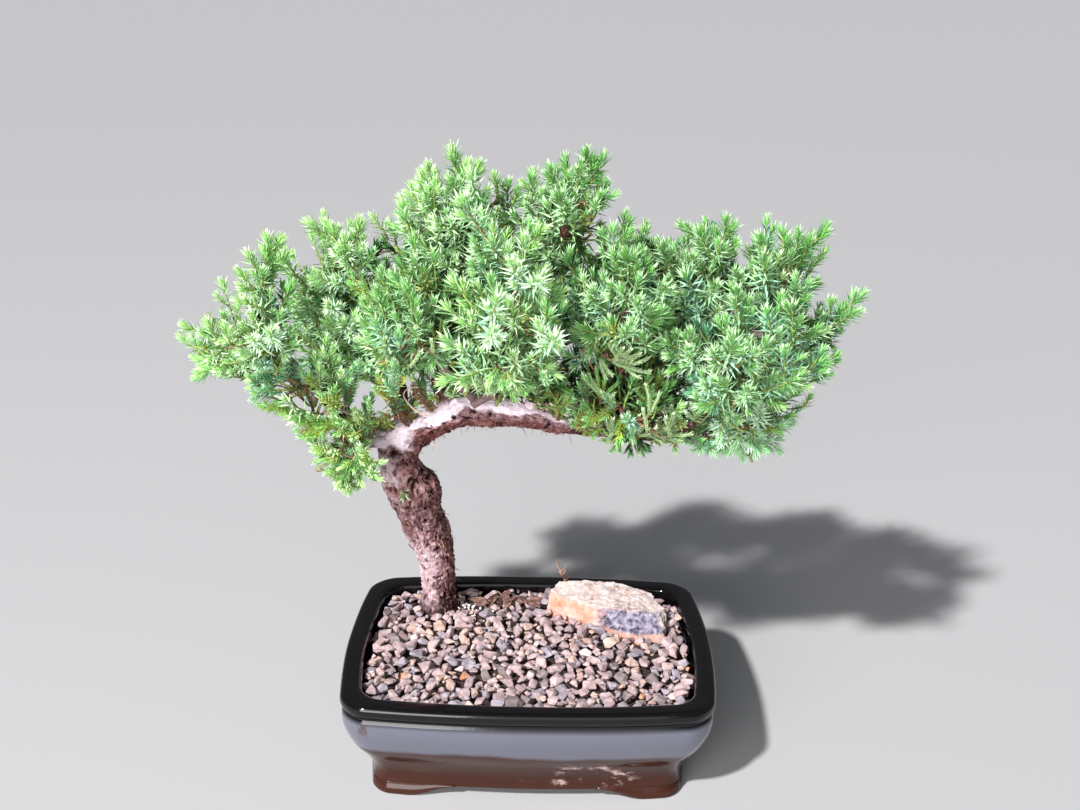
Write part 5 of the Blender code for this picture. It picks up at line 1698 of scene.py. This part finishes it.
def loft_arrays(rings, close_ends=True):
    k, n = len(rings), len(rings[0])
    V = np.concatenate(rings)
    i = np.arange(k - 1)[:, None] * n
    j = np.arange(n)[None]
    a, b = i + j, i + (j + 1) % n
    q = np.stack([a, b, b + n, a + n], 2).reshape(-1, 4)
    F = [q[:, [0, 1, 2]], q[:, [0, 2, 3]]]
    if close_ends:
        V = np.concatenate([V, rings[0].mean(0)[None], rings[-1].mean(0)[None]])
        jj = np.arange(n)
        F += [np.stack([np.full(n, k * n), (jj + 1) % n, jj], 1),
              np.stack([np.full(n, k * n + 1), (k - 1) * n + jj, (k - 1) * n + (jj + 1) % n], 1)]
    return V, np.concatenate(F)


def map_range(nt, value, a, b):
    m = nt.nodes.new("ShaderNodeMapRange")
    m.interpolation_type = "SMOOTHSTEP"
    nt.links.new(value, m.inputs["Value"])
    m.inputs["From Min"].default_value = a
    m.inputs["From Max"].default_value = b
    return m.outputs["Result"]


def glaze_material():
    m, nt, b = new_material("glaze_black")
    tc = nt.nodes.new("ShaderNodeTexCoord")
    sep = nt.nodes.new("ShaderNodeSeparateXYZ")
    nt.links.new(tc.outputs["Object"], sep.inputs[0])
    x, y, z = sep.outputs
    front = map_range(nt, y, (-68 + SHIFT[1]) * MM, (-74 + SHIFT[1]) * MM + 0.016)
    # dried hard water low on the front, right of the middle
    bx = math_node(nt, "MULTIPLY", map_range(nt, x, 0.018, 0.034), map_range(nt, x, 0.074, 0.060))
    bz = math_node(nt, "MULTIPLY", map_range(nt, z, 0.008, 0.013), map_range(nt, z, 0.033, 0.022))
    face = math_node(nt, "LESS_THAN", y, (-50 + SHIFT[1]) * MM)
    spot = ramp(nt, object_noise(nt, 105.0, 6.0, 0.7, (0.8, 1, 1.6)), ((0.52, (0, 0, 0)), (0.64, (1, 1, 1))))
    stain = math_node(nt, "MULTIPLY", math_node(nt, "MULTIPLY", bx, bz),
                      math_node(nt, "MULTIPLY", face, spot), True)
    film = ramp(nt, object_noise(nt, 60.0, 6.0, 0.7, (0.5, 1, 2.0)), ((0.58, (0, 0, 0)), (0.85, (0.16, 0.15, 0.15))))
    lowz = map_range(nt, z, 0.034, 0.012)
    dust = math_node(nt, "MULTIPLY", film, lowz, True)
    # painted reflections in the black glaze: dark brown low on the belly, a grey-blue band above it with a wavy edge;
    # the rim keeps the glaze's own near-black
    wave = math_node(nt, "MULTIPLY", math_node(nt, "SUBTRACT", object_noise(nt, 13.0, 2.0), 0.5), 0.014)
    reflection_band = map_range(nt, math_node(nt, "ADD", z, wave), 0.0350, 0.0395)
    base = mix_color(nt, reflection_band, lin(52, 27, 19), lin(88, 89, 101))
    rim = map_range(nt, z, 0.054, 0.058)
    base = mix_color(nt, rim, base, lin(9, 8, 10))
    b.inputs["Specular IOR Level"].default_value = 0.22
    col = mix_color(nt, dust, base, lin(170, 140, 136))
    # a small chip in the glaze at the front left, under the lip
    chip = math_node(nt, "MULTIPLY",
                     math_node(nt, "MULTIPLY", map_range(nt, x, -0.0845, -0.0830), map_range(nt, x, -0.0775, -0.0790)),
                     math_node(nt, "MULTIPLY", map_range(nt, z, 0.0470, 0.0485), map_range(nt, z, 0.0570, 0.0555)))
    chip = math_node(nt, "MULTIPLY", math_node(nt, "MULTIPLY", chip, face),
                     ramp(nt, object_noise(nt, 420.0, 4.0, 0.7), ((0.40, (0, 0, 0)), (0.55, (1, 1, 1)))))
    col = mix_color(nt, math_node(nt, "MULTIPLY", chip, 0.8), col, lin(66, 52, 46))
    col = mix_color(nt, math_node(nt, "MULTIPLY", stain, 0.85), col, lin(214, 186, 184))
    nt.links.new(col, b.inputs["Base Color"])
    rough = math_node(nt, "ADD", math_node(nt, "MULTIPLY", stain, 0.5),
                      math_node(nt, "ADD", 0.12, math_node(nt, "MULTIPLY", dust, 0.5)))
    nt.links.new(rough, b.inputs["Roughness"])
    b.inputs["IOR"].default_value = 1.55
    nt.links.new(math_node(nt, "MULTIPLY", reflection_band, math_node(nt, "SUBTRACT", 0.45, math_node(nt, "MULTIPLY", rim, 0.25))),
                 b.inputs["Coat Weight"])
    b.inputs["Coat IOR"].default_value = 1.6
    b.inputs["Coat Roughness"].default_value = 0.07
    bump(nt, b, math_node(nt, "ADD", object_noise(nt, 22.0, 2.0), math_node(nt, "MULTIPLY", object_noise(nt, 160.0, 2.0), 0.10)),
         0.35, 0.0022)
    return m


def pot():
    glaze = glaze_material()
    prof = [(o, z, 0.0, 0.0) for o, z in POT_PROFILE]
    fine = smooth_path(prof, 0.9)
    rings = []
    for o, z in fine[:, :2]:
        p = plan(o)
        rings.append(np.column_stack([p, np.full(len(p), z)]))
    V, F = loft_arrays(rings)
    # hand-made unevenness of a millimetre or less
    w = fbm(V / 60.0, 2, 7)[:, None] * 0.5 * unit(V * np.array([1, 1, 0]))
    ob = make_mesh("pot_glazed", to_world(V + w), F, [glaze], smooth=True)
    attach(ob, "root")
    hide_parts("pot")

    def rail(off, s):
        hw, hd = POT_W / 2 - off, POT_D / 2 - off
        r = max(POT_R - 0.35 * off, 4.0)
        edge = 0.22
        if s <= -edge:
            t = (-s - edge) / (1 - edge)
            x, y = hw, hd - r - t * (FOOT_SIDE - r)
        elif s >= edge:
            t = (s - edge) / (1 - edge)
            x, y = hw - r - t * (FOOT_LONG - r), hd
        else:
            a = math.radians(45 + 45 * s / edge)
            x, y = hw - r + r * math.cos(a), hd - r + r * math.sin(a)
        return bow(x, y, hw, hd)

    for name, sx, sy in (("foot_front_left", -1, -1), ("foot_front_right", 1, -1),
                         ("foot_back_left", -1, 1), ("foot_back_right", 1, 1)):
        rings = []
        for s in np.linspace(-1, 1, 49):
            t = min(max((abs(s) - FOOT_FLAT) / (1 - FOOT_FLAT), 0.0), 1.0)
            low = (BASE_Z - 0.9) * (0.5 - 0.5 * math.cos(math.pi * t))
            top = BASE_Z + 1.2
            b = min(1.3, (top - low) * 0.3)
            ring = []
            for off, z in ((FOOT_OUT + 1.4, top), (FOOT_OUT + 0.2, low + b * 1.6),
                           (FOOT_OUT + 0.1, low + b), (FOOT_OUT + 0.45, low + 0.3 * b),
                           (FOOT_OUT + 1.3, low), (FOOT_IN - 1.2, low), (FOOT_IN - 0.3, low + 0.4 * b),
                           (FOOT_IN, low + b * 1.3), (FOOT_IN, top)):
                x, y = rail(off, s)
                ring.append((sx * x, sy * y, z))
            rings.append(np.array(ring))
        V, F = loft_arrays(rings)
        if sx * sy < 0:
            F = F[:, ::-1]
        ob = make_mesh(name + "_glazed", to_world(V), F, [glaze], smooth=True)
        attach(ob, "root")
        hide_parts(name)
    stamp("pot")


# ================================================================== gravel
PEBBLE_TINTS = (                  # share, dark, main, light
    (0.36, (118, 100, 102), (164, 142, 145), (194, 175, 177)),
    (0.22, (126, 104, 104), (178, 154, 154), (208, 188, 186)),
    (0.18, (104, 96, 103), (148, 138, 147), (180, 170, 180)),
    (0.11, (88, 80, 82), (130, 116, 118), (164, 150, 152)),
    (0.12, (138, 112, 104), (184, 156, 146), (212, 188, 178)),
    (0.012, (150, 98, 74), (192, 140, 110), (214, 172, 146)),
    (0.014, (160, 144, 143), (198, 184, 183), (222, 212, 209)))


def pebble_shapes(rng, count):
    """Crushed stones: hulls of a few points with their edges worn off."""
    out = []
    for k in range(count):
        bm = bmesh.new()
        n = int(rng.integers(9, 15))
        pts = unit(rng.normal(0, 1, (n, 3))) * rng.uniform(0.82, 1.12, (n, 1))
        pts = pts * np.array([1.0, rng.uniform(0.66, 0.95), rng.uniform(0.5, 0.78)])
        for p in pts:
            bm.verts.new(p)
        res = bmesh.ops.convex_hull(bm, input=bm.verts[:])
        loose = [v for v in bm.verts if not v.link_faces]
        bmesh.ops.delete(bm, geom=loose, context="VERTS")
        bmesh.ops.dissolve_limit(bm, angle_limit=math.radians(14), verts=bm.verts[:], edges=bm.edges[:])
        bmesh.ops.bevel(bm, geom=bm.edges[:], offset=0.085, segments=1, affect="EDGES", clamp_overlap=True)
        bmesh.ops.triangulate(bm, faces=bm.faces[:])
        bm.normal_update()
        V = np.array([v.co for v in bm.verts])
        F = np.array([[v.index for v in f.verts] for f in bm.faces])
        bm.free()
        V -= V.mean(0)
        out.append((V, F))
    return out


def random_rotations(rng, n, flat=0.5):
    """Rotations; flat stones tend to lie on their flat side."""
    axis = unit(rng.normal(0, 1, (n, 3)))
    ang = rng.normal(0, flat, n)
    K = np.zeros((n, 3, 3))
    K[:, 0, 1], K[:, 0, 2], K[:, 1, 2] = -axis[:, 2], axis[:, 1], -axis[:, 0]
    K -= K.transpose(0, 2, 1)
    R = np.eye(3) + np.sin(ang)[:, None, None] * K + (1 - np.cos(ang))[:, None, None] * (K @ K)
    z = rng.uniform(0, 2 * math.pi, n)
    Z = np.zeros((n, 3, 3))
    Z[:, 0, 0], Z[:, 0, 1], Z[:, 1, 0], Z[:, 1, 1], Z[:, 2, 2] = np.cos(z), -np.sin(z), np.sin(z), np.cos(z), 1
    return R @ Z


def inside_bed(x, y, off):
    hw, hd = POT_W / 2 - off, POT_D / 2 - off
    u, v = x / hw, y / hd
    sx = POT_BOW * (1 - min(v * v, 1)) * u ** 4
    sy = POT_BOW * (1 - min(u * u, 1)) * v ** 4
    ax, ay = abs(x) - sx, abs(y) - sy
    r = 9.0
    if ax > hw or ay > hd:
        return False
    if ax > hw - r and ay > hd - r:
        return (ax - hw + r) ** 2 + (ay - hd + r) ** 2 < r * r
    return True


def gravel():
    rng = np.random.default_rng(12)
    shapes = pebble_shapes(rng, 46)
    # heights of the heap on a 1 mm grid
    gx, gy = np.arange(-96, 97), np.arange(-66, 67)
    X, Y = np.meshgrid(gx, gy, indexing="ij")
    H = np.full(X.shape, 53.5)
    trunk = np.array([-57.2, 46.2])
    H[((X - trunk[0]) ** 2 + (Y - trunk[1]) ** 2) < 10.5 ** 2] = 90.0
    # top of the heap: a little higher at the trunk and at the left
    T = (62.2 + 1.6 * np.exp(-((X - trunk[0]) ** 2 + (Y - trunk[1]) ** 2) / 900.0)
         + 0.9 * fbm(np.stack([X / 26.0, Y / 26.0, 0 * X], 2).reshape(-1, 3), 2, 3).reshape(X.shape))
    wall = np.minimum(POT_W / 2 - 11.6 - np.abs(X), POT_D / 2 - 11.6 - np.abs(Y))
    T = T + 1.9 * sstep(15.0, 3.0, wall)
    # the stone keeps its place: its front edge line
    stone = np.array(STONE_LOW, float)

    def in_stone(x, y, grow):
        c = stone.mean(0)
        s = (np.array([x, y]) - c) * (1 - grow / 34.0) + c
        inside, j = False, len(stone) - 1
        for i in range(len(stone)):
            (xi, yi), (xj, yj) = stone[i], stone[j]
            if (yi > s[1]) != (yj > s[1]) and s[0] < (xj - xi) * (s[1] - yi) / (yj - yi) + xi:
                inside = not inside
            j = i
        return inside

    place_, rad_, soil_ = [], [], []
    tries = 9000
    xy = np.column_stack([rng.uniform(-92, 92, tries), rng.uniform(-64, 64, tries)])
    rads = np.concatenate([rng.uniform(3.9, 6.2, 3400), rng.uniform(2.7, 4.4, 3200), rng.uniform(1.6, 2.8, 2400)])
    for (x, y), r in zip(xy, rads):
        if not inside_bed(x, y, 12.1 + r * 0.66) or in_stone(x, y, 0.9 + r * 0.4):
            continue
        i, j = int(round(x)) + 96, int(round(y)) + 66
        k = int(math.ceil(r))
        sl = (slice(max(0, i - k), i + k + 1), slice(max(0, j - k), j + k + 1))
        d2 = (X[sl] - x) ** 2 + (Y[sl] - y) ** 2
        disc = d2 < (0.72 * r) ** 2
        hs = H[sl][disc]
        if hs.max() > 80:
            continue
        rest = 0.55 * hs.max() + 0.45 * hs.mean()
        zc = rest + r * 0.42
        if zc + r * 0.52 > T[i, j] + 0.22 * r:
            continue
        dark = (x - (-40)) ** 2 / 14.0 ** 2 + (y - 44) ** 2 / 11.0 ** 2
        if dark < 1 and rng.random() < 0.55:
            continue                          # bare soil to the right of the trunk's foot
        place_.append((x, y, zc))
        rad_.append(r)
        full = d2 < r * r
        cap = zc + np.sqrt(np.maximum(r * r - d2, 0)) * 0.56
        H[sl] = np.where(full, np.maximum(H[sl], cap), H[sl])
    place_, rad_ = np.array(place_), np.array(rad_)
    n = len(place_)
    shape = rng.integers(0, len(shapes), n)
    R = random_rotations(rng, n, 0.42)
    tint = rng.choice(len(PEBBLE_TINTS), n, p=np.array([t[0] for t in PEBBLE_TINTS])
                      / sum(t[0] for t in PEBBLE_TINTS))
    count = 0
    for k, (share, dark, main, light) in enumerate(PEBBLE_TINTS):
        chunks = []
        for i in np.nonzero(tint == k)[0]:
            V, F = shapes[shape[i]]
            chunks.append(((V * rad_[i] * 1.06) @ R[i].T + place_[i], F, np.zeros(len(F), int)))
        V, F, ix = join_arrays(chunks)
        m, nt, b = new_material("pebble_tint_%d" % k)
        a = object_noise(nt, 150.0, 3.0, 0.6)
        fine = object_noise(nt, 900.0, 4.0, 0.65)
        v = math_node(nt, "ADD", math_node(nt, "MULTIPLY", a, 0.65), math_node(nt, "MULTIPLY", fine, 0.40))
        nt.links.new(ramp(nt, v, ((0.34, lin(*dark)), (0.52, lin(*main)), (0.70, lin(*light)))),
                     b.inputs["Base Color"])
        b.inputs["Roughness"].default_value = 0.88
        b.inputs["Specular IOR Level"].default_value = 0.25
        bump(nt, b, fine, 0.55, 0.0005)
        ob = make_mesh("gravel_tint_%d" % k, to_world(V), F, [m])
        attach(ob, "root")
        count += len(F)

    # soil under the stones, with grit where it shows
    m, nt, b = new_material("soil_dark")
    nt.links.new(ramp(nt, object_noise(nt, 480.0, 5.0, 0.7), ((0.38, lin(20, 13, 13)), (0.55, lin(58, 40, 38)),
                                                         (0.75, lin(110, 84, 78)))), b.inputs["Base Color"])
    b.inputs["Roughness"].default_value = 0.95
    rings = []
    for off in np.concatenate([[13.4], np.linspace(13.4, 70, 40)]):
        p = plan(off if off < 60 else 60, arc=10, long_n=40, short_n=28)
        if off > 60:
            p = p * (72.35 - off) / 12.35
        z = np.full(len(p), 56.4)
        rings.append(np.column_stack([p, z]))
    low = rings[0].copy()
    low[:, 2] = 50.0
    V, F = loft_arrays([low] + rings[1:])
    soil = ((V[:, 0] + 42) ** 2 / 18.0 ** 2 + (V[:, 1] - 45) ** 2 / 13.0 ** 2)
    bump_ = 4.4 * np.exp(-soil) + 1.5 * fbm(V / 3.0, 4, 5, 0.6)
    V[:, 2] += np.where(V[:, 2] > 55, bump_, 0)
    ob = make_mesh("soil_bed", to_world(V), F, [m], smooth=True)
    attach(ob, "root")
    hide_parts("gravel_bed")

    # white grains, crumbs of soil and chips of bark near the trunk
    def grains(name, shares, spots, lo, hi, mat):
        chunks = []
        for (x, y, z), s in zip(spots, rng.uniform(lo, hi, len(spots))):
            V, F = shapes[int(rng.integers(0, len(shapes)))]
            V = V * s * np.array(shares)
            chunks.append((V @ random_rotations(rng, 1, 1.0)[0].T + (x, y, z), F, np.zeros(len(F), int)))
        V, F, ix = join_arrays(chunks)
        ob = make_mesh(name, to_world(V), F, [mat])
        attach(ob, "root")

    def spots(n, c, h, rise):
        out = []
        while len(out) < n:
            x, y = c[0] + rng.normal(0, h[0]), c[1] + rng.normal(0, h[1])
            if (x - trunk[0]) ** 2 + (y - trunk[1]) ** 2 < 10.5 ** 2 or not inside_bed(x, y, 15) or in_stone(x, y, 2):
                continue
            top = 58.6 + 3.2 * math.exp(-((x + 42) ** 2 / 300.0 + (y - 45) ** 2 / 160.0))
            out.append((x, y, top + rise + rng.uniform(-0.5, 0.8)))
        return out

    white, wnt, wb = new_material("perlite_white")
    wb.inputs["Base Color"].default_value = (*lin(228, 222, 216), 1)
    nt_c = ramp(wnt, object_noise(wnt, 700.0, 3.0), ((0.3, lin(188, 178, 172)), (0.6, lin(240, 236, 232))))
    wnt.links.new(nt_c, wb.inputs["Base Color"])
    wb.inputs["Roughness"].default_value = 0.8
    grains("perlite_grains", (1, 1, 0.9), spots(46, (-42, 41), (9, 7), 1.0), 0.7, 1.4, white)
    grains("soil_crumbs", (1, 0.9, 0.8), spots(260, (-40, 43), (12, 8), 0.2), 0.9, 2.1, m)
    chip, cnt_, cb = new_material("bark_chip")
    cnt_.links.new(ramp(cnt_, object_noise(cnt_, 260.0, 5.0, 0.6, (1, 1, 3)), ((0.35, lin(52, 34, 32)), (0.55, lin(112, 80, 72)),
                                                                      (0.75, lin(160, 128, 116)))), cb.inputs["Base Color"])
    cb.inputs["Roughness"].default_value = 0.9
    grains("bark_chips", (2.4, 1.2, 0.42), [(x, y, 62.4 + rng.uniform(-0.5, 1.4)) for x, y in
                                         zip(rng.uniform(-34, 6, 26), rng.uniform(46, 57, 26))], 2.2, 3.6, chip)
    stamp("gravel: %d stones, %d faces" % (n, count))


# ================================================================== accent stone
STONE_LOW = ((10, 47), (18.5, 39.5), (42, 25), (66, 12.6), (82, 15), (85, 27), (77, 44),
             (57, 51), (34, 54), (14, 56))
STONE_TOP = ((12.5, 48, 72), (21, 40.5, 73), (44, 28, 74), (62, 24, 73), (79, 25, 71),
             (82, 30, 72), (74, 43, 75), (57, 49, 78), (36, 51, 78.5), (17, 53, 76.5))


def ring_points(poly, n, soft=0.0):
    """n points evenly along a closed polygon."""
    P = np.array(poly, float)
    Q = np.concatenate([P, P[:1]])
    d = np.concatenate([[0], np.cumsum(np.linalg.norm(np.diff(Q, axis=0), axis=1))])
    s = np.linspace(0, d[-1], n, endpoint=False)
    return np.column_stack([np.interp(s, d, Q[:, k]) for k in range(Q.shape[1])])


def accent_stone():
    n = 220
    # both outlines are sampled corner by corner so that they run side by side
    def paced(poly):
        P = np.array(poly, float)
        low = np.array(STONE_LOW, float)
        seg = np.linalg.norm(np.roll(low, -1, 0) - low, axis=1)
        cnt = np.maximum(3, np.round(seg / seg.sum() * n).astype(int))
        out = []
        for i in range(len(P)):
            a, b = P[i], P[(i + 1) % len(P)]
            for t in np.arange(cnt[i]) / cnt[i]:
                out.append(a + (b - a) * t)
        return np.array(out)

    low = paced([(*p, 56.0) for p in STONE_LOW])
    top = paced(STONE_TOP)
    c = top.mean(0)
    rings = []
    for t in np.linspace(0, 1, 22):
        p = low + (top - low) * t
        bulge = math.sin(math.pi * t) * 0.8
        out = unit((p - c) * np.array([1, 1, 0]))
        rings.append(p + out * bulge)
    for t in np.linspace(0.04, 0.97, 26):
        p = top + (c - top) * t
        p[:, 2] += 1.6 * math.sin(math.pi * t * 0.5) - 0.2
        rings.append(p)
    V, F = loft_arrays(rings)
    m = len(low)
    side = np.zeros(len(V), bool)
    side[: 22 * m] = True
    out = unit((V - c) * np.array([1, 1, 0]))
    nrm = np.where(side[:, None], out * 0.9 + np.array([0, 0, 0.2]), np.array([0, 0, 1.0]))
    nrm = unit(nrm)
    coarse = fbm(V / 9.0, 4, 21, 0.55)
    chop = fbm(V / np.array([3.4, 3.4, 3.4]), 4, 25, 0.6)
    f1, f2, idn, vec = cells(V / 3.1 + coarse[:, None] * 0.8, 31)
    strata = fbm(V / np.array([15.0, 15.0, 1.7]), 3, 77)
    ridges = fbm(V / np.array([8.0, 2.6, 4.0]), 4, 79)
    h = coarse * 1.5 + chop * 0.8 + (idn - 0.5) * 0.8 + np.where(side, strata * 1.1, ridges * 1.3)
    # zones: how blue, how cream
    x = V[:, 0] + 5 * fbm(V / 10.0, 3, 41)
    front = side & (out[:, 1] < 0.25)
    blue = front * sstep(38, 48, x) * sstep(83, 77, x) * sstep(60, 62, V[:, 2]) * sstep(73.6, 72.0, V[:, 2] + 0.8 * chop)
    cream = np.where(front, np.maximum(sstep(76, 82, x), sstep(71.6, 73.4, V[:, 2] + 1.2 * chop)), 1.0)
    # pits in the blue part, sunk into the stone and painted darker, painted shade in the holes
    pits = sstep(0.10, 0.35, fbm(V / 2.0, 3, 61)) * blue
    smooth = front * (1 - blue) * (1 - cream)
    h = h * (1 - 0.55 * smooth) - pits * 1.5
    V2 = V + nrm * h[:, None]
    V2[:m, 2] = 56.0
    mat, nt, b = new_material("accent_stone_rough")
    fine = object_noise(nt, 330.0, 6.0, 0.65)
    mid = object_noise(nt, 120.0, 4.0, 0.6)
    crm = ramp(nt, math_node(nt, "ADD", math_node(nt, "MULTIPLY", fine, 0.7), math_node(nt, "MULTIPLY", mid, 0.35)),
               ((0.36, lin(122, 96, 84)), (0.45, lin(158, 142, 135)), (0.60, lin(181, 170, 170)), (0.8, lin(202, 193, 192))))
    speck = ramp(nt, object_noise(nt, 240.0, 3.0, 0.5), ((0.60, (0, 0, 0)), (0.68, (1, 1, 1))))
    crm = mix_color(nt, math_node(nt, "MULTIPLY", speck, 0.45), crm, lin(194, 142, 104))
    pink = ramp(nt, math_node(nt, "ADD", math_node(nt, "MULTIPLY", mid, 0.8), math_node(nt, "MULTIPLY", fine, 0.25)),
                ((0.36, lin(176, 112, 90)), (0.50, lin(190, 142, 124)), (0.72, lin(200, 174, 166))))
    blu = ramp(nt, fine, ((0.34, lin(68, 66, 82)), (0.48, lin(122, 116, 134)), (0.66, lin(162, 154, 168))))
    col = mix_color(nt, attr(nt, "cream"), pink, crm)
    col = mix_color(nt, attr(nt, "blue"), col, blu)
    # darker blue-grey in the pits: painted shade
    col = mix_color(nt, math_node(nt, "MULTIPLY", attr(nt, "pits"), 0.85), col, lin(46, 46, 66))
    nt.links.new(col, b.inputs["Base Color"])
    b.inputs["Roughness"].default_value = 0.86
    b.inputs["Specular IOR Level"].default_value = 0.25
    bump(nt, b, fine, 0.6, 0.0008)
    ob = make_mesh("accent_stone_rough", to_world(V2), F, [mat], smooth=False)
    add_attr(ob, "cream", np.clip(cream, 0, 1))
    add_attr(ob, "blue", np.clip(blue, 0, 1))
    add_attr(ob, "pits", np.clip(pits, 0, 1))
    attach(ob, "root")
    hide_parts("accent_stone")
    stamp("accent stone %d faces" % len(F))


# ================================================================== small finds
def line_tube(name, points, radius, sides, mat):
    p = smooth_path([(*q, 0.0) for q in points], 0.8)
    k = len(p)
    t = unit(np.gradient(p[:, :3], axis=0))
    r = radius * (1 - 0.75 * np.linspace(0, 1, k) ** 2)
    V, F, ix = tube_arrays(p[None, :, :3], t[None], r[None], sides, [0])
    ob = make_mesh(name, to_world(V), F, [mat], smooth=True)
    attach(ob, "root")


def small_finds(fibre):
    m, nt, b = new_material("dry_strand")
    nt.links.new(ramp(nt, object_noise(nt, 500.0, 3.0), ((0.3, lin(168, 134, 112)), (0.65, lin(232, 208, 190)))),
                 b.inputs["Base Color"])
    b.inputs["Roughness"].default_value = 0.7
    line_tube("dry_strand", ((-60, 13, 203), (-65.9, 11, 207), (-70.4, 9, 213.2), (-71.5, 8, 217.7),
                             (-68.4, 8, 220.9), (-63.0, 9, 221.2)), 0.6, 6, m)
    olds = {}
    for name, dark, light in (("old_twig_red", (120, 66, 50), (178, 116, 92)),
                              ("old_twig_amber", (168, 112, 46), (214, 168, 84)),
                              ("old_twig_pink", (172, 140, 134), (226, 200, 194)),
                              ("bud_brown", (52, 28, 20), (110, 66, 48))):
        m, nt, b = new_material(name)
        nt.links.new(ramp(nt, object_noise(nt, 420.0, 4.0), ((0.32, lin(*dark)), (0.66, lin(*light)))),
                     b.inputs["Base Color"])
        b.inputs["Roughness"].default_value = 0.75
        olds[name] = m
    for k, (mat, r, pts) in enumerate((
            ("old_twig_red", 1.0, ((-93, 4, 283), (-90, 6, 273), (-89, 10, 262))),
            ("old_twig_amber", 0.9, ((-8, -30, 285), (-8.5, -26, 272), (-8, -20, 260))),
            ("old_twig_red", 0.8, ((26, -20, 254), (31, -14, 244), (36, -10, 234))),
            ("old_twig_amber", 1.3, ((107, -20, 229), (110, -19, 225), (115, -12, 218))),
            ("old_twig_pink", 1.5, ((-112, 1, 214), (-105, 3, 209), (-100, 5, 205))))):
        line_tube("old_twig_%d" % k, pts, r, 6, olds[mat])
    # a dry brown berry cone under the right top
    u = np.linspace(0, math.pi, 12)
    ang = np.linspace(0, 2 * math.pi, 16, endpoint=False)
    c = np.array([16.0, -4.0, 313.0])
    rings = [np.column_stack([2.7 * math.sin(max(a, 0.08)) * np.cos(ang) * (1 + 0.10 * np.sin(5 * ang + a * 3)),
                              2.7 * math.sin(max(a, 0.08)) * np.sin(ang) * (1 + 0.10 * np.sin(5 * ang + a * 3)),
                              np.full(16, -4.2 * math.cos(a))]) + c for a in u[:-1]]
    V, F = loft_arrays(rings)
    ob = make_mesh("bud_brown", to_world(V + 0.35 * fbm(V / 1.2, 2, 5)[:, None] * unit(V - c)), F,
                   [olds["bud_brown"]], smooth=True)
    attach(ob, "root")
    rng = np.random.default_rng(3)
    line_tube("dead_twig", ((23, 55, 70), (21, 55.5, 77), (18.1, 56, 83), (16.2, 56.5, 90)), 0.6, 5, fibre)
    for k, (a, z) in enumerate(((0.9, 76), (-0.8, 78), (0.5, 80), (-1.2, 81), (1.1, 83), (-0.6, 85))):
        x = 21.5 - (z - 76) * 0.42
        line_tube("dead_twiglet_%d" % k, ((x, 55.6, z), (x + a * 2.0, 55.0, z + 1.8), (x + a * 3.6, 54.6, z + 4.6)),
                  0.34, 4, fibre)


# ================================================================== run
camera_and_light()
stem, bark_mat = stem_and_limbs()
fibre_mat = flakes_and_hairs(stem, bark_mat)
leaf_mats, wood_mats = crown()
sprouts(leaf_mats, wood_mats)
tufts(leaf_mats, wood_mats)
pot()
gravel()
accent_stone()
small_finds(fibre_mat)

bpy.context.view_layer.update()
stamp("done, %d meshes" % len([o for o in bpy.data.objects if o.type == "MESH"]))
